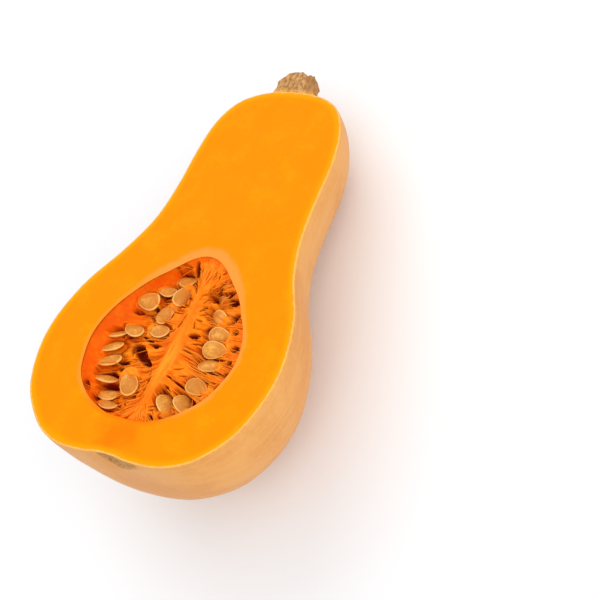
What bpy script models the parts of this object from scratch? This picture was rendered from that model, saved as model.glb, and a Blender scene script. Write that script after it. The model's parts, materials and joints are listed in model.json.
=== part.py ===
"""A butternut squash cut in half lengthwise, resting on its rounded back with the cut face up.

Run it with: blender --background --python part.py
Lengths are in metres and +Z is up. Everything is first modelled in the squash's own frame: +Y runs from
the blossom end to the stem, +X runs across, and the cut face is the plane Z = 0 with the flesh below it.
An empty then tips that frame on to the surface: the bulb is deeper than the neck, so the half lies on
both and its stem end leans down. The origin is under the middle of the object, on the surface.
"""

import math

import bmesh
import bpy
from mathutils import Matrix, Vector

MM = 0.001

# Driving dimensions of the half
LENGTH = 200 * MM  # from the blossom end to the seat of the stem
BULB_RADIUS = 66.3 * MM  # half the width of the cut face at the bulb
DEPTH_SHARE = 1.12  # depth over half-width: the knife passed a little in front of the middle
GAP = 0.35 * MM  # between pieces that touch

# The outline of the cut face. Each station is a share of LENGTH, then the half-width and the sideways
# drift of its middle, both as shares of BULB_RADIUS.
STATIONS = (
    (0.013, 0.000, 0.010),  # bottom of the blossom dimple
    (0.003, 0.200, 0.015),
    (0.009, 0.470, 0.022),
    (0.046, 0.695, 0.028),
    (0.130, 0.906, 0.014),
    (0.258, 1.000, 0.002),  # widest part of the bulb
    (0.390, 0.924, 0.000),
    (0.510, 0.737, 0.008),
    (0.600, 0.640, 0.024),
    (0.700, 0.604, 0.023),  # waist of the neck
    (0.810, 0.592, 0.010),
    (0.895, 0.545, -0.008),
    (0.955, 0.440, -0.015),
    (0.985, 0.290, -0.012),
    (0.997, 0.120, -0.020),
    (0.998, 0.000, -0.030),  # seat of the stem
)
BODY_RINGS = 48
ARC_SIDES = 26
SHARP_EDGE = math.radians(40)  # a sharper fold than this is shaded as an edge

# The seed cavity: a rounded teardrop with its point towards the stem
CAVITY_CENTRE = Vector((1.3 * MM, 54 * MM, 0))
CAVITY_WIDTH = 82 * MM
CAVITY_TAIL = 35 * MM  # from its middle to the blossom side
CAVITY_TIP = 50 * MM  # from its middle to the point on the stem side
CAVITY_DEPTH = 46 * MM
TIP_POINT = 0.42  # how far the stem side narrows to a point: 0 is an ellipse
CAVITY_SIDES = 56
CAVITY_STEPS = 9  # from the cut face to the bottom
CUTTER_RISE = 12 * MM  # of its cutter, above the cut face

# The stringy pulp that fills the cavity, with its ridge a little to the right of the middle
RIDGE_DRIFT = 6.0 * MM
RIDGE_RETURN = 0.75  # how much of that drift is gone at the cavity's point
RIDGE_HALF_WIDTH = 6.0 * MM
RIDGE_DROP = 1.4 * MM  # of the ridge below the cut face
LEFT_DROP = 9.5 * MM  # of the pulp's bed, on the side where more was pulled away
RIGHT_DROP = 5.5 * MM
BED_RINGS = 9
BOWL_RINGS = 6

# The cut stem, a corky stub that flares out where it meets the squash
STEM_MIDDLE = -3.0 * MM
STEM_LEAN = 1.2 * MM  # sideways, over its height
STEM_END = 10.5 * MM  # of its cut-off end, past LENGTH
STEM_SLANT = 0.08  # how uneven that end is
STEM_END_ROUNDING = 0.16
STEM_ROUNDED_FROM = 0.9  # share of its height
STEM_BASE_RADIUS = 11.5 * MM
STEM_NECK_RADIUS = 8.0 * MM
STEM_RIB = 0.09  # how far each rib stands out, as a share of the radius
STEM_RIBS = 5
STEM_HEIGHTS = (0.0, 0.12, 0.3, 0.55, 0.8, 0.95, 1.0)  # of its rings, as shares of its height
STEM_SIDES = 24

# Seeds: a flat teardrop
SEED_WIDTH_SHARE = 0.62
SEED_THICKNESS_SHARE = 0.26
SEED_SKEW = 0.28  # how far its fullness lies towards its blunt end
SEED_SIDES = 10
SEED_RINGS = 7
# Each seed's place as across, along and drop below the cut face, then its length, all in millimetres;
# then its turn on the cut face, its roll about its own length and its pitch, in degrees.
SEEDS = (
    # left of the ridge, from the stem side down
    (-10.0, 93.0, 6.5, 11.0, 170, 20, 8),
    (-17.0, 86.2, 5.6, 11.0, 168, 24, 0),
    (-22.0, 78.5, 3.6, 14.0, 176, -6, 4),
    (-5.8, 84.4, 4.2, 11.0, 78, 40, 5),
    (-10.6, 74.8, 5.6, 11.0, 64, 8, -2),
    (-9.5, 65.5, 5.2, 12.0, 172, 14, 4),
    (-23.0, 63.5, 5.0, 11.5, 168, 24, 2),
    (-32.0, 60.5, 6.8, 11.5, 194, 46, 3),
    (-30.5, 53.5, 5.8, 12.5, 200, 34, 3),
    (-27.5, 46.5, 5.2, 13.0, 198, 26, 0),
    (-26.0, 38.5, 7.5, 13.0, 178, 50, 2),
    (-10.0, 38.0, 4.8, 13.5, 120, 10, -6),
    (-22.0, 31.8, 9.2, 12.0, 182, 30, 0),
    (-16.6, 26.1, 6.2, 11.0, 172, 40, 4),
    # right of the ridge, from the stem side down
    (16.5, 84.5, 7.5, 11.0, -44, 30, 4),
    (20.5, 76.5, 5.0, 11.5, -20, 28, 4),
    (24.5, 68.5, 4.4, 12.0, 2, 20, 4),
    (26.0, 61.0, 3.8, 13.0, 8, 18, 2),
    (26.5, 54.0, 5.6, 12.5, 0, -20, 2),
    (27.0, 42.0, 3.6, 12.5, -14, -4, 5),
    (15.5, 31.0, 4.2, 13.0, -52, -42, -5),
    (23.5, 33.0, 4.8, 12.5, -46, -38, -4),
)

STEEPEST_TILT = math.radians(45)  # that the resting half could take
TILT_HALVINGS = 40

# Each finish: its name, colour and roughness
RIND = ("rind", (0.80, 0.50, 0.24), 0.45)
PULP = ("pulp", (0.90, 0.26, 0.02), 0.50)
SEED = ("seed", (0.80, 0.58, 0.30), 0.45)
STEM = ("stem", (0.45, 0.29, 0.13), 0.85)


def smoothstep(low, high, value):
    """0 below low, 1 above high, and an even S between them."""
    t = min(1.0, max(0.0, (value - low) / (high - low)))
    return t * t * (3 - 2 * t)


def through(points, count):
    """count + 1 points, evenly spread along a smooth curve through the given ones."""
    points = [Vector(p) for p in points]
    reach = [0.0]
    for a, b in zip(points, points[1:]):
        reach.append(reach[-1] + (b - a).length)
    slopes = []
    for i in range(len(points)):
        low, high = max(i - 1, 0), min(i + 1, len(points) - 1)
        slopes.append((points[high] - points[low]) / (reach[high] - reach[low]))
    curve = []
    span = 0
    for k in range(count + 1):
        at = reach[-1] * k / count
        while span < len(points) - 2 and at > reach[span + 1]:
            span += 1
        width = reach[span + 1] - reach[span]
        t = (at - reach[span]) / width
        curve.append(
            points[span] * (1 + 2 * t) * (1 - t) ** 2
            + slopes[span] * width * t * (1 - t) ** 2
            + points[span + 1] * t * t * (3 - 2 * t)
            + slopes[span + 1] * width * t * t * (t - 1)
        )
    return curve


def body_profile():
    """Rings of the half as (along, half-width, drift), from the blossom dimple to the stem's seat."""
    stations = [(a * LENGTH, r * BULB_RADIUS, d * BULB_RADIUS) for a, r, d in STATIONS]
    rings = through(stations, BODY_RINGS)
    for ring in rings:
        ring.y = max(0.0, ring.y)
    return rings


def cavity_outline(angle):
    """The cavity's edge on the cut face, from its middle. Angle 0 is +X, and a quarter turn is the tip."""
    across = math.cos(angle) * CAVITY_WIDTH / 2
    along = math.sin(angle)
    if along > 0:
        across *= 1 - TIP_POINT * along**2
        return Vector((across, along * CAVITY_TIP, 0))
    return Vector((across, along * CAVITY_TAIL, 0))


def cavity_point(angle, drop, inset=0.0):
    """A point of the cavity's wall at this drop below the cut face, moved in from the wall by inset."""
    share = min(1.0, max(0.0, drop / (CAVITY_DEPTH - inset)))
    rim = cavity_outline(angle)
    rim *= (rim.length - inset) / rim.length
    point = CAVITY_CENTRE + rim * math.sqrt(1 - share * share)
    point.z = -drop
    return point


def ridge_drift(along):
    """How far the pulp's ridge lies from the cavity's middle, at this distance from the blossom end."""
    share = (along - CAVITY_CENTRE.y) / CAVITY_TIP
    return RIDGE_DRIFT * (1 - RIDGE_RETURN * share * share)


def bed_drop(point):
    """How far the pulp's upper surface lies below the cut face."""
    away = point.x - CAVITY_CENTRE.x - ridge_drift(point.y)
    side = smoothstep(-RIDGE_HALF_WIDTH, RIDGE_HALF_WIDTH, away)
    bed = LEFT_DROP + (RIGHT_DROP - LEFT_DROP) * side
    ridge = math.exp(-((away / RIDGE_HALF_WIDTH) ** 2))
    return bed + (RIDGE_DROP - bed) * ridge


def closed_tube(mesh, rings, start, end):
    """Joins equal closed rings of points into one skin, with a point at each end."""
    grid = [[mesh.verts.new(p) for p in ring] for ring in rings]
    sides = len(grid[0])
    for a, b in zip(grid, grid[1:]):
        for i in range(sides):
            j = (i + 1) % sides
            mesh.faces.new((a[i], a[j], b[j], b[i]))
    for ring, point in ((grid[0], start), (grid[-1], end)):
        pole = mesh.verts.new(point)
        for i in range(sides):
            mesh.faces.new((ring[i], pole, ring[(i + 1) % sides]))


def add_object(name, build, finish=None):
    """An object from a function that fills a bmesh, shaded smooth, with its own material."""
    mesh = bpy.data.meshes.new(name)
    shape = bmesh.new()
    build(shape)
    bmesh.ops.recalc_face_normals(shape, faces=shape.faces)
    shape.to_mesh(mesh)
    shape.free()
    mesh.shade_smooth()
    mesh.set_sharp_from_angle(angle=SHARP_EDGE)
    piece = bpy.data.objects.new(name, mesh)
    bpy.context.scene.collection.objects.link(piece)
    if finish:
        mesh.materials.append(material(*finish))
    return piece


def material(name, colour, roughness):
    found = bpy.data.materials.get(name)
    if found:
        return found
    made = bpy.data.materials.new(name)
    made.use_nodes = True
    shader = made.node_tree.nodes["Principled BSDF"]
    shader.inputs["Base Color"].default_value = (*colour, 1)
    shader.inputs["Roughness"].default_value = roughness
    return made


def hide_cutter(piece):
    piece.hide_render = True
    piece.display_type = "WIRE"


def squash_skin(mesh):
    """Half-elliptical arcs from end to end, closed by the flat cut face."""
    rings = body_profile()
    arcs = []
    for along, radius, drift in rings[1:-1]:
        arc = []
        for k in range(ARC_SIDES + 1):
            angle = math.pi * k / ARC_SIDES
            across = drift + radius * math.cos(angle)
            arc.append(mesh.verts.new((across, along, -DEPTH_SHARE * radius * math.sin(angle))))
        arc[0].co.z = arc[-1].co.z = 0
        arcs.append(arc)
    blossom = mesh.verts.new((rings[0].z, rings[0].x, 0))
    seat = mesh.verts.new((rings[-1].z, rings[-1].x, 0))
    for a, b in zip(arcs, arcs[1:]):
        for k in range(ARC_SIDES):
            mesh.faces.new((a[k], a[k + 1], b[k + 1], b[k]))
    for arc, pole in ((arcs[0], blossom), (arcs[-1], seat)):
        for k in range(ARC_SIDES):
            mesh.faces.new((arc[k], pole, arc[k + 1]))
    right = [arc[0] for arc in arcs]
    left = [arc[-1] for arc in reversed(arcs)]
    mesh.faces.new([blossom, *right, seat, *left])


def cavity_cutter(mesh):
    """The cavity's bowl, carried on straight up through the cut face."""
    angles = [2 * math.pi * k / CAVITY_SIDES for k in range(CAVITY_SIDES)]
    rise = Vector((0, 0, CUTTER_RISE))
    rings = [[cavity_point(a, 0) + rise for a in angles]]
    for k in range(CAVITY_STEPS):
        drop = CAVITY_DEPTH * math.sin(math.pi / 2 * k / CAVITY_STEPS)
        rings.append([cavity_point(a, drop) for a in angles])
    top = CAVITY_CENTRE + rise
    bottom = CAVITY_CENTRE - Vector((0, 0, CAVITY_DEPTH))
    closed_tube(mesh, rings, top, bottom)


def pulp_bed(mesh):
    """The pulp: an uneven upper surface with its ridge, over a bowl that follows the cavity's wall."""
    angles = [2 * math.pi * k / CAVITY_SIDES for k in range(CAVITY_SIDES)]
    depth = CAVITY_DEPTH - GAP
    rings = []
    for k in range(1, BED_RINGS + 1):
        ring = []
        for a in angles:
            flat = CAVITY_CENTRE + cavity_outline(a) * (k / BED_RINGS)
            drop = bed_drop(flat)
            wall = cavity_point(a, drop, GAP) - CAVITY_CENTRE
            point = CAVITY_CENTRE + wall * (k / BED_RINGS)
            point.z = -drop
            ring.append(point)
        rings.append(ring)
    edge = [-p.z for p in rings[-1]]
    for k in range(1, BOWL_RINGS):
        share = math.sin(math.pi / 2 * k / BOWL_RINGS)
        rings.append(
            [cavity_point(a, e + (depth - e) * share, GAP) for a, e in zip(angles, edge)]
        )
    top = CAVITY_CENTRE - Vector((0, 0, bed_drop(CAVITY_CENTRE)))
    bottom = CAVITY_CENTRE - Vector((0, 0, depth))
    closed_tube(mesh, rings, top, bottom)


def seed_shape(mesh, length, grow=0.0):
    """A flat teardrop along +X with its point at +X, made larger on every side by grow."""
    width = length * SEED_WIDTH_SHARE / 2 + grow
    thickness = length * SEED_THICKNESS_SHARE / 2 + grow
    half = length / 2 + grow
    rings = []
    for k in range(1, SEED_RINGS + 1):
        turn = math.pi * k / (SEED_RINGS + 1)
        along = -half * math.cos(turn)
        fullness = math.sin(turn) * (1 + SEED_SKEW * math.cos(turn))
        ring = []
        for i in range(SEED_SIDES):
            a = 2 * math.pi * i / SEED_SIDES
            across, up = width * fullness * math.cos(a), thickness * fullness * math.sin(a)
            ring.append((along, across, up))
        rings.append(ring)
    closed_tube(mesh, rings, (-half, 0, 0), (half, 0, 0))


def seed_place(across, along, drop, turn, roll, pitch):
    angles = [math.radians(v) for v in (roll, pitch, turn)]
    turned = Matrix.Rotation(angles[2], 4, "Z") @ Matrix.Rotation(angles[1], 4, "Y")
    turned = turned @ Matrix.Rotation(angles[0], 4, "X")
    return Matrix.Translation((across * MM, along * MM, -drop * MM)) @ turned


def add_seeds(frame):
    """The seeds, and a little larger copy of each that presses its pocket into the pulp."""
    pockets = bpy.data.collections.new("seed_pockets")
    bpy.context.scene.collection.children.link(pockets)
    for number, (across, along, drop, length, turn, roll, pitch) in enumerate(SEEDS, 1):
        place = seed_place(across, along, drop, turn, roll, pitch)
        for grow in (0.0, GAP):
            name = f"seed_{number:02d}" if grow == 0 else f"pocket_{number:02d}"
            finish = SEED if grow == 0 else None
            piece = add_object(name, lambda mesh: seed_shape(mesh, length * MM, grow), finish)
            piece.parent = frame
            piece.matrix_local = place
            if grow:
                bpy.context.scene.collection.objects.unlink(piece)
                pockets.objects.link(piece)
                hide_cutter(piece)
    return pockets


def shoulder_along(across, down):
    """How far along the squash its skin lies at this place under the stem."""
    rings = body_profile()
    for outer, inner in zip(rings[-2::-1], rings[:0:-1]):
        middle = (outer.z + inner.z) / 2
        reach = math.hypot(across - middle, down / DEPTH_SHARE)
        if reach <= outer.y:
            share = (outer.y - reach) / (outer.y - inner.y)
            return outer.x + (inner.x - outer.x) * min(1.0, share)
    raise ValueError("the stem is wider than the squash")


def stem_stub(mesh):
    """Half of a ribbed stub: it flares into the squash, and is cut off short and uneven at its end."""
    rings = []
    for share in STEM_HEIGHTS:
        radius = STEM_NECK_RADIUS + (STEM_BASE_RADIUS - STEM_NECK_RADIUS) * (1 - share) ** 3
        radius *= 1 - STEM_END_ROUNDING * smoothstep(STEM_ROUNDED_FROM, 1.0, share)
        ring = []
        for k in range(STEM_SIDES + 1):
            angle = math.pi * k / STEM_SIDES
            ribbed = radius * (1 + STEM_RIB * math.cos(2 * STEM_RIBS * angle))
            across = STEM_MIDDLE + ribbed * math.cos(angle)
            down = ribbed * math.sin(angle)
            foot = shoulder_along(across, down) + 2 * GAP
            top = STEM_END * (1 - STEM_SLANT * math.cos(3 * angle))
            along = foot + (LENGTH + top - foot) * share
            ring.append(mesh.verts.new((across + STEM_LEAN * share, along, -down)))
        ring[0].co.z = ring[-1].co.z = 0
        rings.append(ring)
    for a, b in zip(rings, rings[1:]):
        for k in range(STEM_SIDES):
            mesh.faces.new((a[k], a[k + 1], b[k + 1], b[k]))
    seat = shoulder_along(STEM_MIDDLE, 0) + 2 * GAP
    base_middle = mesh.verts.new((STEM_MIDDLE, seat, 0))
    tip_middle = mesh.verts.new((STEM_MIDDLE + STEM_LEAN, LENGTH + STEM_END, 0))
    for ring, middle in ((rings[0], base_middle), (rings[-1], tip_middle)):
        for k in range(STEM_SIDES):
            mesh.faces.new((ring[k], middle, ring[k + 1]))
    right = [ring[0] for ring in rings]
    left = [ring[-1] for ring in reversed(rings)]
    mesh.faces.new([base_middle, *right, tip_middle, *left])


def rest_tilt():
    """The angle that tips the stem end down until the bulb and the neck reach equally low, by halving."""
    below = [(ring.x, -DEPTH_SHARE * ring.y) for ring in body_profile()]
    bulb = [p for p in below if p[0] < LENGTH / 2]
    neck = [p for p in below if p[0] >= LENGTH / 2]
    low, high = 0.0, STEEPEST_TILT
    for _ in range(TILT_HALVINGS):
        tilt = (low + high) / 2
        feet = [
            min(z * math.cos(tilt) - y * math.sin(tilt) for y, z in side) for side in (bulb, neck)
        ]
        if feet[0] < feet[1]:
            low = tilt
        else:
            high = tilt
    return low


def settle(frame, pieces):
    """Tips the squash's frame, then puts the middle of its box over the origin and its foot at Z = 0."""
    turn = Matrix.Rotation(-rest_tilt(), 4, "X")
    points = [turn @ piece.matrix_local @ v.co for piece in pieces for v in piece.data.vertices]
    low = Vector([min(p[i] for p in points) for i in range(3)])
    high = Vector([max(p[i] for p in points) for i in range(3)])
    shift = Vector((-(low.x + high.x) / 2, -(low.y + high.y) / 2, -low.z))
    frame.matrix_world = Matrix.Translation(shift) @ turn


def difference(piece, name):
    cut = piece.modifiers.new(name, "BOOLEAN")
    cut.operation = "DIFFERENCE"
    cut.solver = "EXACT"
    return cut


def main():
    for old in list(bpy.data.objects):
        bpy.data.objects.remove(old)
    frame = bpy.data.objects.new("squash_frame", None)
    bpy.context.scene.collection.objects.link(frame)

    half = add_object("squash_half", squash_skin, RIND)
    cavity = add_object("cavity_cutter", cavity_cutter)
    hide_cutter(cavity)
    difference(half, "seed_cavity").object = cavity

    pulp = add_object("pulp", pulp_bed, PULP)
    pockets = add_seeds(frame)
    sockets = difference(pulp, "seed_pockets")
    sockets.operand_type = "COLLECTION"
    sockets.collection = pockets

    stem = add_object("stem", stem_stub, STEM)
    for piece in (half, cavity, pulp, stem):
        piece.parent = frame
    settle(frame, (half, stem))


main()
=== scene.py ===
"""The looks of a butternut squash half: its rind, flesh, stringy pulp, seeds and corky stem, on a floor.

Everything is shaped in the squash's own frame, in metres: +Y runs from the blossom end to the stem, +X
across the cut face, and the cut face is the plane Z = 0 with the flesh below it. SQUASH carries that
frame to where the half rests. "Drop" is always a depth below the cut face.
"""

import json
import math

import bmesh
import bpy
import numpy as np
from bpy.props import FloatProperty, FloatVectorProperty, IntProperty, PointerProperty
from mathutils import Matrix, Vector


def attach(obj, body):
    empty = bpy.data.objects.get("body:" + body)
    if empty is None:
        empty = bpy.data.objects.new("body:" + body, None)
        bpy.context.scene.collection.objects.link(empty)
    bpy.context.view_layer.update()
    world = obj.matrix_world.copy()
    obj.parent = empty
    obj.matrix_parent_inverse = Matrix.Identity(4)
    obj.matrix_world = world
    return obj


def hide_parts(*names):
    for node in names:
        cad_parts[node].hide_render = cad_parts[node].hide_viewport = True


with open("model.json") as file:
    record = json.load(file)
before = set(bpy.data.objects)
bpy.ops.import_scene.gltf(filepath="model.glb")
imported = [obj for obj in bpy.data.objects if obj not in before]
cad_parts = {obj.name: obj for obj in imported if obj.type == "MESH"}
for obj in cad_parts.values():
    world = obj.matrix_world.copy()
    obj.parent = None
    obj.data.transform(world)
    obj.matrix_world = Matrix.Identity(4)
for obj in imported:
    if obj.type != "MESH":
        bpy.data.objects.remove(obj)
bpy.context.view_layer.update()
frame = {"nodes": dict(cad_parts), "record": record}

bl_info = {
    "name": "Butternut Squash Half",
    "version": (1, 0, 0),
    "blender": (4, 5, 0),
    "location": "3D View > Sidebar > Squash",
    "description": "Builds the rind, flesh, pulp, seeds and stem of a halved butternut squash",
    "category": "Add Mesh",
}

MM = 0.001
BODY = "root"
RANDOM_SEED = 7

# The squash's own frame, from the mount in the middle of its neck
FACE = next(m for m in frame["record"]["mounts"] if m["name"] == "cut_face")
FACE_MARK = 140 * MM  # from the blossom end to that mount
UP = Vector(FACE["axis"]).normalized()
ACROSS = Vector((1, 0, 0))
ALONG = UP.cross(ACROSS)
SQUASH = Matrix((ACROSS, ALONG, UP)).transposed().to_4x4()
SQUASH.translation = Vector(FACE["pos_m"]) - ALONG * FACE_MARK

# Fineness of the meshes
SKIN_RINGS = 236
SKIN_ARC = 104
BLOSSOM_CROWDING = 0.4  # how much closer the rings stand at the blossom end than halfway
FACE_ROWS = 56
WALL_ROWS = 34
PULP_COLUMNS = 780
PULP_ROWS = 110
BOWL_ROWS = 9
STRAND_POINTS = 14
SEED_SIDES = 56
STEM_SIDES = 96
STEM_ROWS = 44
STEM_ACROSS = 44
RING_POINTS = 24  # the fewest that a ring of the CAD half has
RIM_ANGLES = 512
RIM_WAVES = 16  # how many waves of the cavity's edge are kept

# The rind's lengthwise ribs, and the blossom scar, a corky half-disc in the dimple at the end of the bulb
RIBS = 10
RIB_HEIGHT = 0.12 * MM
SCAR_ACROSS = 7.5 * MM
SCAR_WIDTH = 12.0 * MM  # half of it
SCAR_DROP = 9.0 * MM
SCAR_SINK = 0.3 * MM
SCAR_CRUMBS = 0.25 * MM
SCAR_LIP = 0.45 * MM

# The flesh's bands on the cut face
LINING_WIDTH = 2.4 * MM  # the pale lining of the cavity
LINING_POINT = 3.6 * MM  # how much wider it is at the cavity's point
YELLOW_WIDTH = 3.4 * MM  # the yellower flesh next to the rind
BLUSH_ACROSS = 2 * MM  # the redder flesh between the cavity and the blossom end
BLUSH_ALONG = 12 * MM
BLUSH_REACH = 14 * MM
EDGE_ROUNDING = ((0.0, 0.0), (0.12, 0.12), (0.4, 0.3))  # of the cavity: drops and how far out, in mm

# The ridge of the pulp, which the lines of tissue start from
RIDGE_MIDDLE = 58 * MM
RIDGE_UP = 28 * MM
RIDGE_DOWN = 29 * MM
RIDGE_BULGE = 6.0 * MM  # how far it bows to the right
RIDGE_WIDEST = 51 * MM
RIDGE_HALF_WIDTH = 2.2 * MM
RIDGE_SPREAD = 15 * MM  # how fast that width fades along it

# Drops of the pulp's surface
CREST_DROP = 1.1 * MM
RIGHT_DROP = 3.2 * MM
TOP_DROP = 2.0 * MM  # in the fan of tissue at the cavity's point
LEFT_DROP = 4.8 * MM  # next to the ridge
LEFT_SINK = 3.0 * MM  # how much lower it lies by the outer seeds
EDGE_DROP = 0.35 * MM  # where the pulp meets the cavity's edge
LEAST_DROP = 0.2 * MM
PULP_TUCK = 0.3 * MM  # how far its edge goes into the flesh
WALL_CLEARANCE = 0.8 * MM  # how far the flesh's wall lies behind the pulp
LEFT_BANK = 0.26  # share of the way out over which the pulp climbs to that edge
RIGHT_BANK = 0.1
BOWL_CLEARANCE = 0.5 * MM  # how far its underside lies behind the cavity's smooth wall

# The pulp's own relief
THREAD_RISE = 0.38 * MM  # lines of tissue
FURROW_DROP = 0.7 * MM  # between those lines
BUMP_RISE = 0.5 * MM
RIDGE_LINES = 0.3 * MM
GROOVE_DROP = 0.5 * MM  # along the middle of the ridge
GROOVE_HALF_WIDTH = 0.35 * MM
LIP_RISE = 0.3 * MM  # round the slits

# How the seeds sit in it
SEED_GAP = 2.0 * MM  # how deep the trough round a seed is
SEED_CLEARANCE = 0.3 * MM  # between a seed and the pulp under or over it
COVER_START = 0.45  # where the pulp starts to cover a seed, from -1 at its blunt end to 1 at its point

# Seeds that are covered further than that, or less far
COVERED = {"seed_02": 0.0, "seed_12": 0.2, "seed_15": -0.3, "seed_16": 0.1, "seed_18": 0.6, "seed_20": 0.6}

# The seeds' hulls
HULL_SHARES = (0.12, 0.26, 0.4, 0.52, 0.63, 0.71, 0.77, 0.81, 0.845, 0.88, 0.92, 0.955, 0.98, 0.995, 1.0)
HULL_SKEW = 0.28  # fuller towards the blunt end
HULL_BODY = 0.93  # where the plump middle ends and the raised margin starts
HULL_PLUMP = 0.94  # how thick that middle is, as a share of the CAD seed
HULL_MARGIN = 0.2  # how thick the margin is

# The stem
STEM_SHIFT = 1.6 * MM  # how far its foot stands to the right
STEM_LEAN = 1.4 * MM  # how far its top leans back to the left
STEM_SINK = 0.9 * MM  # how far its foot goes into the squash
STEM_NOTCH = 0.22  # share of the way across its cut, from the right

# Strands of the pulp
OVER_SEEDS = 0.01  # share of the strands that cross seeds on top
BRIDGING = 0.12  # share that spans hollows
STRAND_TURN = 3  # how far a strand strays from the tissue's direction, in degrees
STRAND_TUCK = 0.45 * MM  # how far its ends go into the pulp
STRAND_OVER = 0.25 * MM  # how far it stays above a seed that it crosses
STRAND_UNDER = 0.6 * MM  # how far it stays below one that covers it
# Painted shade: FREE_SHADE is the share of the dark red given to a strand that hangs free
FREE_SHADE = 0.1  # how dark a strand is that hangs free
WAVE_SCALE = 75.0
TAPER_POWER = 2.2
TAPER_SHARE = 0.85  # how much of its radius a strand loses at its ends
WEB_COPIES = 2
WEB_BLEND = 1.5 * MM  # how far round a thread's place the pulp's drop is averaged

# The range of noise over which a surface goes from wet to dry
WET_RANGE = (0.3, 0.7)

# The camera
CAMERA_AIM = (58.3 * MM, 90.0 * MM)  # the place on the plane of the cut face that it looks at
CAMERA_DISTANCE = 653 * MM
CAMERA_TURN = math.radians(-34.4)  # round the cut face's own upright, from +X
CAMERA_RISE = math.radians(46.2)  # above the plane of the cut face
CAMERA_ROLL = math.radians(-37.0)
CAMERA_VIEW = math.radians(22)

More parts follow.
